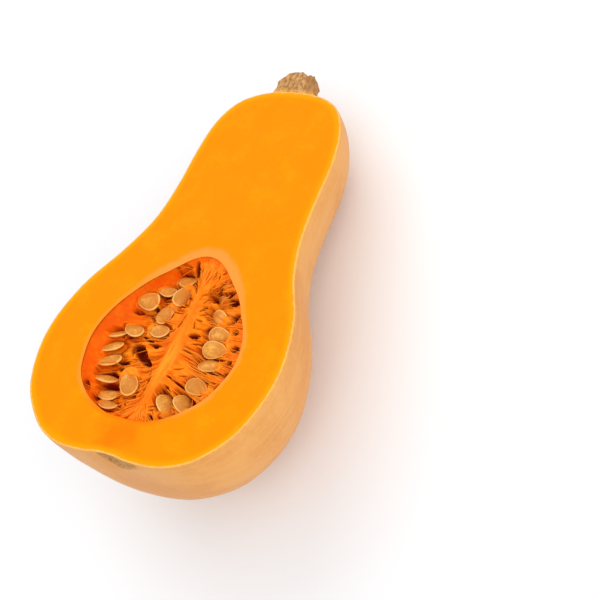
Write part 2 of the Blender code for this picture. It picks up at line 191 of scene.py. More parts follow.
# Hollows in the pulp, placed as they are seen on the cut face from the camera, in mm:
# across and along at one end, across and along at the other end, half-width, depth
SLITS = (
    # the fan at the cavity's point
    (-3.0, 100.0, 0.5, 93.0, 1.0, 5.0),
    (0.5, 93.0, 4.0, 86.0, 0.5, 3.0),
    (9.5, 97.0, 9.5, 93.5, 0.6, 3.0),
    (12.0, 96.0, 12.5, 93.5, 0.4, 2.0),
    (12.5, 93.0, 10.5, 85.5, 0.6, 1.3),
    (5.5, 98.5, 6.0, 91.0, 0.4, 1.0),
    (16.5, 92.0, 15.5, 87.5, 0.8, 4.0),
    (14.0, 85.5, 11.5, 81.0, 0.6, 3.5),
    (19.0, 85.5, 23.0, 87.5, 1.8, 5.0),
    (20.5, 81.5, 28.0, 83.5, 2.3, 6.0),
    (18.5, 85.5, 18.5, 81.5, 0.6, 4.0),
    (13.5, 78.5, 11.5, 76.5, 0.7, 3.5),
    (18.5, 78.5, 17.5, 76.0, 0.7, 3.5),
    (15.0, 75.5, 13.0, 74.5, 0.4, 2.0),
    (25.5, 77.0, 28.0, 76.5, 0.4, 2.5),
    (29.0, 72.5, 32.0, 74.0, 0.8, 4.0),
    (12.0, 72.0, 15.0, 71.5, 0.4, 2.0),
    (11.5, 70.5, 13.0, 67.5, 0.4, 2.0),
    # right of the ridge
    (12.5, 64.0, 17.0, 64.0, 1.3, 4.5),
    (16.0, 60.0, 20.5, 60.5, 0.4, 2.5),
    (20.5, 60.5, 26.0, 62.0, 0.3, 2.0),
    (14.0, 56.5, 18.5, 55.5, 0.4, 2.0),
    (13.5, 46.5, 17.5, 47.5, 0.4, 2.5),
    (12.0, 43.0, 14.0, 42.5, 0.4, 2.5),
    (16.0, 41.5, 22.5, 39.5, 0.5, 3.0),
    (19.5, 68.5, 23.5, 70.0, 0.7, 3.5),
    (28.0, 55.5, 36.0, 55.5, 0.9, 5.0),
    (30.0, 49.0, 37.5, 48.5, 1.1, 5.0),
    (18.0, 44.0, 21.5, 44.5, 0.3, 2.0),
    (13.0, 38.5, 16.0, 37.5, 0.4, 2.5),
    (12.0, 36.5, 14.5, 32.0, 0.6, 3.5),
    (16.0, 36.5, 22.5, 32.5, 0.5, 3.0),
    (16.0, 28.0, 20.0, 25.5, 0.7, 4.0),
    (30.0, 33.5, 35.5, 28.5, 2.0, 6.0),
    (20.0, 24.0, 29.0, 24.5, 2.0, 6.0),
    (13.0, 23.5, 16.0, 22.0, 0.9, 4.0),
    (11.0, 27.0, 14.0, 28.0, 0.4, 2.5),
    (12.0, 25.5, 14.0, 26.0, 0.4, 2.5),
    (18.0, 21.0, 20.5, 19.5, 0.4, 2.0),
    # left of the ridge
    (-12.0, 96.0, -11.0, 94.5, 0.6, 3.5),
    (-9.5, 98.0, -5.5, 97.0, 0.7, 3.5),
    (-8.0, 93.5, -3.5, 90.5, 2.3, 5.5),
    (-8.0, 86.5, -1.0, 85.0, 0.4, 2.0),
    (-13.0, 80.0, -7.5, 80.5, 1.5, 5.0),
    (-18.5, 80.5, -13.0, 80.5, 0.4, 3.0),
    (-13.0, 74.0, -9.5, 72.0, 0.8, 4.0),
    (-23.5, 70.5, -18.0, 70.0, 1.2, 2.0),
    (-13.0, 70.5, -9.5, 67.0, 0.7, 2.0),
    (-24.5, 63.0, -22.5, 61.0, 0.8, 3.0),
    (-27.0, 61.0, -26.0, 60.0, 0.5, 2.5),
    (-9.0, 62.0, 0.0, 61.5, 0.5, 4.0),
    (-11.0, 58.5, -5.5, 57.5, 0.8, 4.0),
    (-5.5, 56.0, 0.5, 56.0, 0.6, 3.0),
    (-3.0, 55.5, -0.5, 55.0, 0.8, 4.0),
    (-11.0, 53.5, -4.5, 48.5, 2.4, 6.0),
    (-5.5, 49.0, 0.0, 46.0, 1.6, 5.0),
    (-13.5, 52.5, -11.0, 49.0, 0.5, 2.5),
    (-18.0, 44.0, -10.5, 44.5, 0.7, 4.0),
    (-13.0, 41.0, -10.5, 42.0, 0.9, 4.0),
    (-27.0, 37.5, -23.5, 38.5, 1.3, 4.5),
    (-22.5, 37.5, -15.0, 38.5, 1.2, 5.0),
    (-20.5, 31.0, -11.0, 33.5, 1.6, 5.0),
    (-17.0, 29.5, -11.0, 29.5, 0.8, 5.0),
    (-20.5, 27.0, -17.0, 24.0, 1.6, 4.0),
    (-30.0, 33.0, -25.5, 29.0, 1.4, 2.0),
    (-16.0, 21.5, -12.0, 22.0, 0.4, 2.0),
    (-10.5, 20.5, -6.5, 21.0, 0.4, 2.0),
    (-4.5, 24.5, -3.5, 23.5, 0.4, 2.0),
    (-2.0, 26.0, -1.0, 25.0, 0.4, 2.0),
    # rows of small holes beside the ridge
    (5.5, 73.5, 5.0, 71.0, 0.4, 2.5),
    (5.0, 70.0, 4.5, 67.0, 0.5, 3.0),
    (3.5, 65.0, 2.5, 64.0, 0.4, 2.5),
    (1.5, 63.0, 0.5, 62.5, 0.4, 2.5),
    (3.0, 43.0, 3.0, 41.5, 0.4, 2.0),
    (4.0, 40.5, 4.0, 37.0, 0.5, 3.0),
    (3.0, 36.5, 2.5, 35.0, 0.4, 2.0),
    (1.5, 34.0, 1.0, 32.5, 0.4, 2.5),
    (4.5, 35.0, 4.0, 31.0, 0.4, 2.5),
    (3.0, 82.5, 4.0, 78.5, 0.4, 1.5),
    # the round cells along the right wall
    (31.0, 77.0, 32.0, 76.0, 1.8, 3.0),
    (34.0, 69.5, 35.5, 69.0, 1.6, 3.5),
    (39.0, 62.0, 39.0, 61.0, 1.6, 4.0),
    (39.0, 55.0, 40.0, 55.0, 1.2, 6.0),
    (40.5, 48.5, 41.5, 48.5, 1.3, 6.0),
    (40.0, 42.0, 41.5, 42.0, 1.9, 6.0),
    (39.5, 36.5, 39.5, 35.5, 0.9, 6.0),
    (39.5, 33.5, 39.5, 32.5, 0.7, 5.0),
)

# Where strands lie: from and to which angle round the cavity, how many, from and to which share of the
# way out, and how high they arch in mm
RIGHT_SPANS = (
    (35, 92, 110, 0.05, 0.97, 0.25),
    (-40, 35, 130, 0.08, 0.97, 0.3),
    (-88, -40, 70, 0.05, 0.97, 0.25),
)
LEFT_SPANS = (
    (92, 150, 60, 0.05, 0.7, 0.3),
    (150, 212, 75, 0.05, 0.65, 0.3),
    (212, 268, 60, 0.05, 0.8, 0.3),
)
# Threads across pockets and seeds, placed as SLITS are: across and along at both ends, in mm
WEBS = (
    (18.0, 25.5, 26.0, 20.5),
    (-10.5, 97.0, -3.0, 96.0),
    (-12.5, 94.5, -7.0, 97.5),
    (-9.0, 92.0, -5.0, 96.5),
    (-8.5, 87.0, 0.0, 84.0),
    (0.0, 85.0, 1.5, 77.0),
    (-7.0, 80.0, -2.5, 69.0),
    (-12.5, 76.5, -8.0, 73.0),
    (-18.0, 75.5, -10.5, 78.0),
    (28.0, 43.5, 34.5, 37.5),
    (27.0, 84.0, 20.0, 80.5),
    (22.5, 87.0, 19.5, 81.5),
    (-27.5, 40.0, -12.5, 43.0),
    (-25.5, 36.5, -14.5, 40.0),
    (-30.0, 30.5, -22.0, 29.5),
    (-23.5, 30.5, -18.0, 27.0),
    (-8.5, 40.0, -1.5, 36.5),
    (31.0, 35.0, 35.0, 27.0),
    (-11.0, 50.5, -4.0, 54.0),
    (18.0, 76.5, 27.5, 73.0),
)


def paint(red, green, blue):
    """A display colour from 0 to 255 as the linear one that a shader takes."""
    shares = (c / 255 for c in (red, green, blue))
    return tuple(c / 12.92 if c <= 0.04045 else ((c + 0.055) / 1.055) ** 2.4 for c in shares)


def smoothstep(low, high, value):
    """0 on low's side, 1 on high's side, and an even S between them."""
    t = np.clip((value - low) / (high - low), 0, 1)
    return t * t * (3 - 2 * t)


def lattice(i, j, seed):
    """An even spread of values from -1 to 1, one for each pair of whole numbers."""
    n = (i * 374761393 + j * 668265263 + seed * 974711) & 0xFFFFFFFF
    n = ((n ^ (n >> 13)) * 1274126177) & 0xFFFFFFFF
    return ((n ^ (n >> 16)) & 0xFFFF) / 32767.5 - 1


def ripple(x, y, seed):
    """Smooth noise from -1 to 1 with features about 1 across."""
    i, j = np.floor(x).astype(np.int64), np.floor(y).astype(np.int64)
    u, v = x - i, y - j
    u, v = u * u * (3 - 2 * u), v * v * (3 - 2 * v)
    near = lattice(i, j, seed) * (1 - u) + lattice(i + 1, j, seed) * u
    far = lattice(i, j + 1, seed) * (1 - u) + lattice(i + 1, j + 1, seed) * u
    return near * (1 - v) + far * v


def patches(x, y, size, seed):
    """Smooth noise from -1 to 1 with features about this many millimetres across."""
    return ripple(x / (size * MM), y / (size * MM), seed)


# Shapes read from the CAD frame


def cad_points(name):
    """A CAD node's different points, in the squash's own frame."""
    mesh = frame["nodes"][name].data
    flat = np.empty(len(mesh.vertices) * 3)
    mesh.vertices.foreach_get("co", flat)
    back = np.array(SQUASH.inverted())
    points = flat.reshape(-1, 3) @ back[:3, :3].T + back[:3, 3]
    return np.unique(np.round(points, 6), axis=0)


def cad_rings():
    """The CAD half's rings as (along, half-width, drift), depth as a share of that, and other points."""
    points = cad_points("squash_half")
    points = points[np.argsort(points[:, 1], kind="stable")]
    breaks = np.flatnonzero(np.diff(points[:, 1]) > 0.005 * MM) + 1
    rings, others = [], []
    for group in np.split(points, breaks):
        if len(group) < RING_POINTS:
            others.append(group)
            continue
        left, right = group[:, 0].min(), group[:, 0].max()
        rings.append((group[:, 1].mean(), (right - left) / 2, (right + left) / 2, -group[:, 2].min()))
    rings = np.array(rings)
    widest = rings[rings[:, 1].argmax(), 0]
    # Up to the widest ring the rings grow, even in the dimple where they double back.
    past = rings[:, 0] > widest
    rings = rings[np.lexsort((np.where(past, rings[:, 0], rings[:, 1]), past))]
    return rings[:, :3], float(np.median(rings[:, 3] / rings[:, 1])), np.concatenate(others)


def pole_of(first, second):
    """The point where a dome closes, from its two smallest rings."""
    share = first[1] ** 2 / (second[1] ** 2 - first[1] ** 2)
    pole = first + (first - second) * share
    pole[1] = 0
    return pole


def smooth_through(points, at):
    """Points of a smooth curve through the given ones, at these shares of its length."""
    steps = np.linalg.norm(np.diff(points, axis=0), axis=1)
    reach = np.concatenate(([0], np.cumsum(steps)))
    slopes = np.gradient(points, reach, axis=0)
    place = at * reach[-1]
    span = np.clip(np.searchsorted(reach, place, side="right") - 1, 0, len(points) - 2)
    width = (reach[span + 1] - reach[span])[:, None]
    t = (place - reach[span])[:, None] / width
    start = points[span] * (1 + 2 * t) + slopes[span] * width * t
    end = points[span + 1] * (3 - 2 * t) + slopes[span + 1] * width * (t - 1)
    return start * (1 - t) ** 2 + end * t * t


RINGS, DEPTH_SHARE, INNER_POINTS = cad_rings()
LENGTH = RINGS[:, 0].max()


def profile():
    """Fine rings as (along, half-width, drift), poles included, closer together at the blossom end."""
    ends = (pole_of(RINGS[0], RINGS[1]), pole_of(RINGS[-1], RINGS[-2]))
    points = np.vstack((ends[0], RINGS, ends[1]))
    share = np.linspace(0, 1, SKIN_RINGS + 2)
    share = share * (1 - BLOSSOM_CROWDING * (1 - share))
    return smooth_through(points, share)


PROFILE = profile()


def cavity_measures():
    """The cavity's middle, its depth, and its edge on the cut face as a smooth radius for each angle."""
    rim = INNER_POINTS[np.abs(INNER_POINTS[:, 2]) < 0.01 * MM]
    rim = rim[(rim[:, 1] > 0.05 * LENGTH) & (rim[:, 1] < 0.8 * LENGTH)]
    low, high = rim.min(axis=0), rim.max(axis=0)
    middle = np.array(((low[0] + high[0]) / 2, rim[rim[:, 0].argmax(), 1]))
    away = rim[:, :2] - middle
    angle = np.arctan2(away[:, 1], away[:, 0])
    order = np.argsort(angle)
    even = np.linspace(-np.pi, np.pi, RIM_ANGLES, endpoint=False)
    radius = np.interp(even, angle[order], np.hypot(*away.T)[order], period=2 * np.pi)
    waves = np.fft.rfft(radius)
    waves[RIM_WAVES:] = 0
    return middle, -INNER_POINTS[:, 2].min(), np.fft.irfft(waves, len(even))


CAVITY_MIDDLE, CAVITY_DEPTH, CAVITY_RADIUS = cavity_measures()


def rim_reach(angle):
    """How far the cavity's edge lies from its middle, with a hand-cut unevenness."""
    even = np.linspace(-np.pi, np.pi, RIM_ANGLES, endpoint=False)
    reach = np.interp(angle, even, CAVITY_RADIUS, period=2 * np.pi)
    uneven = np.sin(5 * angle + 1.0) * 0.25 + np.sin(9 * angle) * 0.16 + np.sin(14 * angle + 2.0) * 0.1
    return reach + uneven * MM


def cavity_wall(angle, drop, inset=0.0):
    """Points of the cavity's wall, moved in from it by inset."""
    share = np.clip(drop / (CAVITY_DEPTH - inset), 0, 1)
    reach = (rim_reach(angle) - inset) * np.sqrt(1 - share * share)
    x = CAVITY_MIDDLE[0] + np.cos(angle) * reach
    y = CAVITY_MIDDLE[1] + np.sin(angle) * reach
    return np.stack((x, y, -drop + np.zeros_like(x)), axis=-1)


class SeedPlace:
    """Where a CAD seed lies: its middle, its length, width and thickness directions, and half sizes."""

    def __init__(self, node):
        points = cad_points(node)
        middle = points.mean(axis=0)
        axes = np.linalg.eigh(np.cov((points - middle).T))[1][:, ::-1].T
        if axes[2, 2] < 0:
            axes[2] *= -1
        reach = (points - middle) @ axes.T
        if (reach[:, 0] * np.abs(reach[:, 1])).sum() > 0:
            axes[0] *= -1  # the blunt end lies on the minus side
        axes[1] = np.cross(axes[2], axes[0])
        reach = (points - middle) @ axes.T
        self.node = node
        self.middle = middle + (reach.max(axis=0) + reach.min(axis=0)) / 2 @ axes
        self.axes = axes
        self.half = (reach.max(axis=0) - reach.min(axis=0)) / 2
        spread = axes.T @ np.diag(self.half**2) @ axes
        self.flat = np.linalg.inv(spread[:2, :2])
        self.lean = spread[2, :2] @ self.flat

    def over(self, x, y):
        """For places on the cut face: 1 at the seed's outline and less inside, and its middle's height."""
        dx, dy = x - self.middle[0], y - self.middle[1]
        inside = self.flat[0, 0] * dx * dx + 2 * self.flat[0, 1] * dx * dy + self.flat[1, 1] * dy * dy
        return np.sqrt(inside), self.middle[2] + self.lean[0] * dx + self.lean[1] * dy


SEEDS = [SeedPlace(n) for n in sorted(frame["nodes"]) if n.startswith("seed_")]


# Mesh making


class Skin:
    """Grids of points that are joined into one mesh. Marks are values from 0 to 1 that materials read."""

    def __init__(self):
        self.points, self.faces, self.marks, self.count = [], [], [], 0

    def grid(self, points, wrap=False, **marks):
        rows, columns = points.shape[:2]
        index = np.arange(rows * columns).reshape(rows, columns) + self.count
        if wrap:
            index = np.hstack((index, index[:, :1]))
        quads = np.stack((index[:-1, :-1], index[:-1, 1:], index[1:, 1:], index[1:, :-1]), axis=-1)
        self.points.append(points.reshape(-1, 3))
        self.faces.extend(quads.reshape(-1, 4).tolist())
        self.marks.append((rows * columns, marks))
        self.count += rows * columns
        return index

    def fan(self, loop, pole, closed=True, **marks):
        """Closes a loop of points, given by number, to one point."""
        self.points.append(np.array(pole, float).reshape(1, 3))
        loop = list(loop) + ([loop[0]] if closed and loop[0] != loop[-1] else [])
        self.faces.extend([int(a), int(b), self.count] for a, b in zip(loop, loop[1:]))
        self.marks.append((1, marks))
        self.count += 1

    def dome(self, points, poles):
        """A grid whose first and last rows each close to a pole."""
        index = self.grid(points)
        for row, pole in zip((0, -1), poles):
            self.fan(index[row], pole, closed=False)

    def mesh(self, name):
        """The joined mesh in the world's frame, with doubles merged and its faces pointing out."""
        points = np.concatenate(self.points)
        turn = np.array(SQUASH)
        mesh = bpy.data.meshes.new(name)
        mesh.from_pydata((points @ turn[:3, :3].T + turn[:3, 3]).tolist(), [], self.faces)
        for mark in sorted({m for _, marks in self.marks for m in marks}):
            parts = [np.broadcast_to(np.asarray(m.get(mark, 0.0), float).ravel(), n) for n, m in self.marks]
            layer = mesh.attributes.new(mark, "FLOAT", "POINT")
            layer.data.foreach_set("value", np.concatenate(parts).astype(np.float32))
        shape = bmesh.new()
        shape.from_mesh(mesh)
        bmesh.ops.remove_doubles(shape, verts=shape.verts, dist=0.002 * MM)
        bmesh.ops.recalc_face_normals(shape, faces=shape.faces)
        shape.to_mesh(mesh)
        shape.free()
        mesh.shade_smooth()
        return mesh


def add_object(name, mesh):
    old = bpy.data.objects.get(name)
    if old:
        bpy.data.objects.remove(old)
    piece = bpy.data.objects.new(name, mesh)
    bpy.context.scene.collection.objects.link(piece)
    return piece


def node_input(tree, name):
    """The identifier of a node group's input, by its name."""
    return next(i.identifier for i in tree.interface.items_tree if i.name == name and i.in_out == "INPUT")


def run_nodes(piece, tree, **values):
    """Puts a Geometry Nodes tree on a piece, sets its inputs and keeps the result as a plain mesh."""
    modifier = piece.modifiers.new(tree.name, "NODES")
    modifier.node_group = tree
    for name, value in values.items():
        modifier[node_input(tree, name.replace("_", " ").title())] = value
    graph = bpy.context.evaluated_depsgraph_get()
    graph.update()
    made = bpy.data.meshes.new_from_object(piece.evaluated_get(graph), depsgraph=graph)
    piece.modifiers.clear()
    piece.data = made
    made.name = piece.name
    return piece


def finish_piece(piece, name):
    """Ties a finished piece to its body and hides the CAD node that it stands for."""
    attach(piece, BODY)
    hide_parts(name)


# Node trees


def node(tree, kind, inputs=None, **settings):
    """Adds a node, with its settings and with its inputs given as values or as sockets to join."""
    made = tree.nodes.new(kind)
    for name, value in settings.items():
        setattr(made, name, value)
    for name, value in (inputs or {}).items():
        if isinstance(value, bpy.types.NodeSocket):
            tree.links.new(value, made.inputs[name])
        else:
            made.inputs[name].default_value = value
    return made


def maths_of(tree, operation, a, b=0.0):
    return node(tree, "ShaderNodeMath", {0: a, 1: b}, operation=operation).outputs[0]


def vector_of(tree, operation, a, b):
    """Maths on a vector and a second one, or on a vector and the number that scales it."""
    inputs = {0: a, "Scale" if operation == "SCALE" else 1: b}
    return node(tree, "ShaderNodeVectorMath", inputs, operation=operation).outputs[0]


def blend_of(tree, share, a, b):
    """Two colours mixed by a share from 0 to 1."""
    return node(tree, "ShaderNodeMix", {0: share, 6: a, 7: b}, data_type="RGBA").outputs[2]


def rise_of(tree, value, low, high, to_low=0.0, to_high=1.0):
    """A value carried smoothly from one range to another."""
    inputs = {"Value": value, "From Min": low, "From Max": high, "To Min": to_low, "To Max": to_high}
    return node(tree, "ShaderNodeMapRange", inputs, interpolation_type="SMOOTHSTEP").outputs[0]


def mark_of(tree, name):
    return node(tree, "ShaderNodeAttribute", attribute_name=name).outputs["Fac"]


def noise_of(tree, vector, scale, detail=3.0, roughness=0.55, distortion=0.0):
    inputs = {"Vector": vector, "Scale": scale, "Detail": detail, "Roughness": roughness}
    return node(tree, "ShaderNodeTexNoise", {**inputs, "Distortion": distortion}).outputs["Fac"]


def opaque(colour):
    return (*colour, 1.0)


def new_group(name, kind, inputs, outputs):
    """An empty node group with its sockets, each given as its default, or as its type where it has none."""
    group = bpy.data.node_groups.new(name, kind)
    for way, sockets in (("INPUT", inputs), ("OUTPUT", outputs)):
        for label, default in sockets.items():
            bare = isinstance(default, str)
            socket_type = "NodeSocket" + (default if bare else type(default).__name__.title())
            made = group.interface.new_socket(label, in_out=way, socket_type=socket_type)
            if not bare:
                made.default_value = default
    return group, group.nodes.new("NodeGroupInput").outputs, group.nodes.new("NodeGroupOutput").inputs


def mottle_group():
    """Two colours in soft patches, broken up by finer specks."""
    found = bpy.data.node_groups.get("mottle")
    if found:
        return found
    group, given, made = new_group("mottle", "ShaderNodeTree", {
        "Vector": "Vector", "Colour A": "Color", "Colour B": "Color",
        "Patch Scale": 60.0, "Speck Scale": 600.0, "Speck Share": 0.35,
    }, {"Colour": "Color", "Share": "Float"})
    broad = noise_of(group, given["Vector"], given["Patch Scale"], 2.0)
    specks = noise_of(group, given["Vector"], given["Speck Scale"], 2.0)
    speckled = maths_of(group, "MULTIPLY", specks, given["Speck Share"])
    share = rise_of(group, maths_of(group, "ADD", broad, speckled), 0.45, 0.85)
    group.links.new(blend_of(group, share, given["Colour A"], given["Colour B"]), made["Colour"])
    group.links.new(share, made["Share"])
    return group


def grain_group():
    """A height for bumps: coarse and fine grain added together."""
    found = bpy.data.node_groups.get("grain")
    if found:
        return found
    group, given, made = new_group("grain", "ShaderNodeTree", {
        "Vector": "Vector", "Coarse Scale": 400.0, "Fine Scale": 1500.0, "Fine Share": 0.5,
    }, {"Height": "Float"})
    coarse = noise_of(group, given["Vector"], given["Coarse Scale"], 2.0)
    fine = noise_of(group, given["Vector"], given["Fine Scale"], 2.0)
    height = maths_of(group, "ADD", coarse, maths_of(group, "MULTIPLY", fine, given["Fine Share"]))
    group.links.new(height, made["Height"])
    return group


class Finish:
    """A new material with a Principled BSDF. Its colour is laid on in coats, each over the ones before."""

    def __init__(self, name):
        old = bpy.data.materials.get(name)
        if old:
            bpy.data.materials.remove(old)
        self.material = bpy.data.materials.new(name)
        self.material.use_nodes = True
        self.tree = self.material.node_tree
        self.shader = self.tree.nodes["Principled BSDF"]
        self.coat = None
        place = node(self.tree, "ShaderNodeTexCoord").outputs["Object"]
        # Turned back to the squash's own frame, so that a pattern can run along it
        turn = SQUASH.to_euler()
        inputs = {"Vector": place, "Rotation": tuple(-a for a in turn)}
        self.place = node(self.tree, "ShaderNodeMapping", inputs, vector_type="POINT").outputs[0]

    def feed(self, name, socket):
        self.tree.links.new(socket, self.shader.inputs[name])

    def constants(self, **values):
        for name, value in values.items():
            self.shader.inputs[name.replace("_", " ")].default_value = value

    def stretched(self, across, along, down):
        """The place with each direction scaled, for streaks and fibres."""
        return vector_of(self.tree, "MULTIPLY", self.place, (across, along, down))

    def mottle(self, first, second, patch_scale, speck_scale, speck_share, place=None):
        """Two colours in patches and specks: the group's Colour and Share outputs."""
        inputs = {
            "Vector": self.place if place is None else place,
            "Colour A": opaque(first), "Colour B": opaque(second),
            "Patch Scale": patch_scale, "Speck Scale": speck_scale, "Speck Share": speck_share,
        }
        return node(self.tree, "ShaderNodeGroup", inputs, node_tree=mottle_group()).outputs

    def over(self, share, colour):
        """Lays a colour over the coats so far, as far as a mark's name or a socket says."""
        if isinstance(share, str):
            share = mark_of(self.tree, share)
        if not isinstance(colour, bpy.types.NodeSocket):
            colour = opaque(colour)
        self.coat = blend_of(self.tree, share, self.coat, colour)
        self.feed("Base Color", self.coat)

    def wetness(self, scale, low, high, detail=2.0):
        """Roughness that changes softly over the surface between two values."""
        wet = noise_of(self.tree, self.place, scale, detail)
        self.feed("Roughness", rise_of(self.tree, wet, *WET_RANGE, low, high))

    def grain(self, coarse_scale, fine_scale, fine_share, height, strength, place=None):
        """A bump of coarse and fine grain, with its height in mm."""
        inputs = {
            "Vector": self.place if place is None else place,
            "Coarse Scale": coarse_scale, "Fine Scale": fine_scale, "Fine Share": fine_share,
        }
        grain = node(self.tree, "ShaderNodeGroup", inputs, node_tree=grain_group()).outputs["Height"]
        inputs = {"Height": grain, "Distance": height * MM, "Strength": strength}
        self.feed("Normal", node(self.tree, "ShaderNodeBump", inputs).outputs[0])


# Geometry Nodes trees


def end_tree(tree, shape, given, made):
    """Ends a tree: makes its instances real and gives the result its material."""
    real = node(tree, "GeometryNodeRealizeInstances", {0: shape}).outputs[0]
    painted = node(tree, "GeometryNodeSetMaterial", {"Geometry": real, "Material": given["Material"]})
    tree.links.new(painted.outputs[0], made["Geometry"])
    return tree


def relief_tree():
    """Moves a surface in and out by noise, as far as its "relief" mark allows, and gives it its material."""
    found = bpy.data.node_groups.get("surface relief")
    if found:
        return found
    tree, given, made = new_group("surface relief", "GeometryNodeTree", {
        "Geometry": "Geometry", "Coarse Height": 0.0003, "Coarse Scale": 40.0, "Fine Height": 0.0001,
        "Fine Scale": 300.0, "Offset": 0.0, "Material": "Material",
    }, {"Geometry": "Geometry"})
    place = tree.nodes.new("GeometryNodeInputPosition").outputs[0]
    normal = tree.nodes.new("GeometryNodeInputNormal").outputs[0]
    mask = node(tree, "GeometryNodeInputNamedAttribute", {"Name": "relief"}, data_type="FLOAT").outputs[0]
    shifted = vector_of(tree, "ADD", place, given["Offset"])
    heights = []
    for size in ("Coarse", "Fine"):
        even = maths_of(tree, "SUBTRACT", noise_of(tree, shifted, given[size + " Scale"]), 0.5)
        heights.append(maths_of(tree, "MULTIPLY", even, given[size + " Height"]))
    height = maths_of(tree, "MULTIPLY", maths_of(tree, "ADD", *heights), 2.0)
    offset = vector_of(tree, "SCALE", normal, maths_of(tree, "MULTIPLY", height, mask))
    moved = node(tree, "GeometryNodeSetPosition", {"Geometry": given["Geometry"], "Offset": offset})
    return end_tree(tree, moved.outputs[0], given, made)


def strand_tree():
    """Turns guide lines into bundles of round, tapering, wavy strands."""
    found = bpy.data.node_groups.get("strand bundles")
    if found:
        return found
    tree, given, made = new_group("strand bundles", "GeometryNodeTree", {
        "Geometry": "Geometry", "Copies": 4, "Spread": 0.0006, "Radius": 0.00025, "Waviness": 0.0005,
        "Wave Scale": 150.0, "Sides": 5, "Seed": RANDOM_SEED, "Material": "Material",
    }, {"Geometry": "Geometry"})
    lines = node(tree, "GeometryNodeMeshToCurve", {0: given["Geometry"]}).outputs[0]
    inputs = {"Geometry": lines, "Amount": given["Copies"]}
    copies = node(tree, "GeometryNodeDuplicateElements", inputs, domain="SPLINE").outputs[0]
    number = tree.nodes.new("GeometryNodeInputIndex").outputs[0]

    def each_strand(low, high, data_type, seed_shift):
        """A random value that is the same along one strand."""
        seed = maths_of(tree, "ADD", given["Seed"], seed_shift)
        first, drawn = {"FLOAT_VECTOR": (0, 0), "FLOAT": (2, 1)}[data_type]
        inputs = {first: low, first + 1: high, "ID": number, "Seed": seed}
        draw = node(tree, "FunctionNodeRandomValue", inputs, data_type=data_type).outputs[drawn]
        held = node(tree, "GeometryNodeFieldOnDomain", {0: draw}, data_type=data_type, domain="CURVE")
        return held.outputs[0]

    aside = each_strand((-1, -1, -1), (1, 1, 1), "FLOAT_VECTOR", 0.0)
    thickness = each_strand(0.4, 1.4, "FLOAT", 11.0)
    shade = each_strand(0.0, 1.0, "FLOAT", 23.0)
    place = tree.nodes.new("GeometryNodeInputPosition").outputs[0]
    at = vector_of(tree, "ADD", place, vector_of(tree, "SCALE", aside, 3.0))
    wave = node(tree, "ShaderNodeTexNoise", {"Vector": at, "Scale": given["Wave Scale"], "Detail": 1.0})
    even = vector_of(tree, "SUBTRACT", wave.outputs["Color"], (0.5, 0.5, 0.5))
    wavy = vector_of(tree, "SCALE", even, maths_of(tree, "MULTIPLY", given["Waviness"], 2.0))
    offset = vector_of(tree, "ADD", wavy, vector_of(tree, "SCALE", aside, given["Spread"]))
    moved = node(tree, "GeometryNodeSetPosition", {"Geometry": copies, "Offset": offset}).outputs[0]

    # Full in the middle, thin at both ends
    factor = tree.nodes.new("GeometryNodeSplineParameter").outputs["Factor"]
    off_middle = maths_of(tree, "SUBTRACT", maths_of(tree, "MULTIPLY", factor, 2.0), 1.0)
    end = maths_of(tree, "POWER", maths_of(tree, "ABSOLUTE", off_middle), TAPER_POWER)
    taper = maths_of(tree, "SUBTRACT", 1.0, maths_of(tree, "MULTIPLY", end, TAPER_SHARE))
    radius = maths_of(tree, "MULTIPLY", maths_of(tree, "MULTIPLY", taper, thickness), given["Radius"])
    inputs = {"Geometry": moved, "Name": "shade", "Value": shade}
    shaded = node(tree, "GeometryNodeStoreNamedAttribute", inputs, data_type="FLOAT", domain="POINT")
    ring = node(tree, "GeometryNodeCurvePrimitiveCircle", {"Resolution": given["Sides"], "Radius": 1.0})
    inputs = {"Curve": shaded.outputs[0], "Profile Curve": ring.outputs[0], "Scale": radius}
    tubes = node(tree, "GeometryNodeCurveToMesh", {**inputs, "Fill Caps": True}).outputs[0]
    rounded = node(tree, "GeometryNodeSetShadeSmooth", {"Geometry": tubes}).outputs[0]
    return end_tree(tree, rounded, given, made)


# Materials


def rind_finish(colours):
    finish = Finish("rind_skin")
    tree = finish.tree
    finish.coat = finish.mottle(colours.rind, colours.rind_warm, 32.0, 420.0, 0.3)["Colour"]
    # Lengthwise streaks: their scale round the squash and along it, detail, range, strength and colour
    inputs = {0: mark_of(tree, "around"), 1: mark_of(tree, "along")}
    run = node(tree, "ShaderNodeCombineXYZ", inputs).outputs[0]
    for around, along, detail, low, high, strength, colour in (
        (70.0, 3.5, 4.0, 0.46, 0.72, 0.35, colours.rind_pale),
        (190.0, 9.0, 3.0, 0.55, 0.8, 0.25, colours.rind_warm),
    ):
        streaks = noise_of(tree, vector_of(tree, "MULTIPLY", run, (around, along, 1.0)), 1.0, detail)
        finish.over(rise_of(tree, streaks, low, high, 0.0, strength), colour)
    finish.over("scar", finish.mottle(colours.scar, colours.scar_pale, 420.0, 1500.0, 0.5)["Colour"])
    finish.over("rim", colours.rim)
    finish.feed("Roughness", rise_of(tree, mark_of(tree, "scar"), 0.0, 1.0, 0.42, 0.85))
    finish.constants(Specular_IOR_Level=0.12)
    finish.grain(160.0, 900.0, 0.35, height=0.25, strength=0.5)
    return finish.material


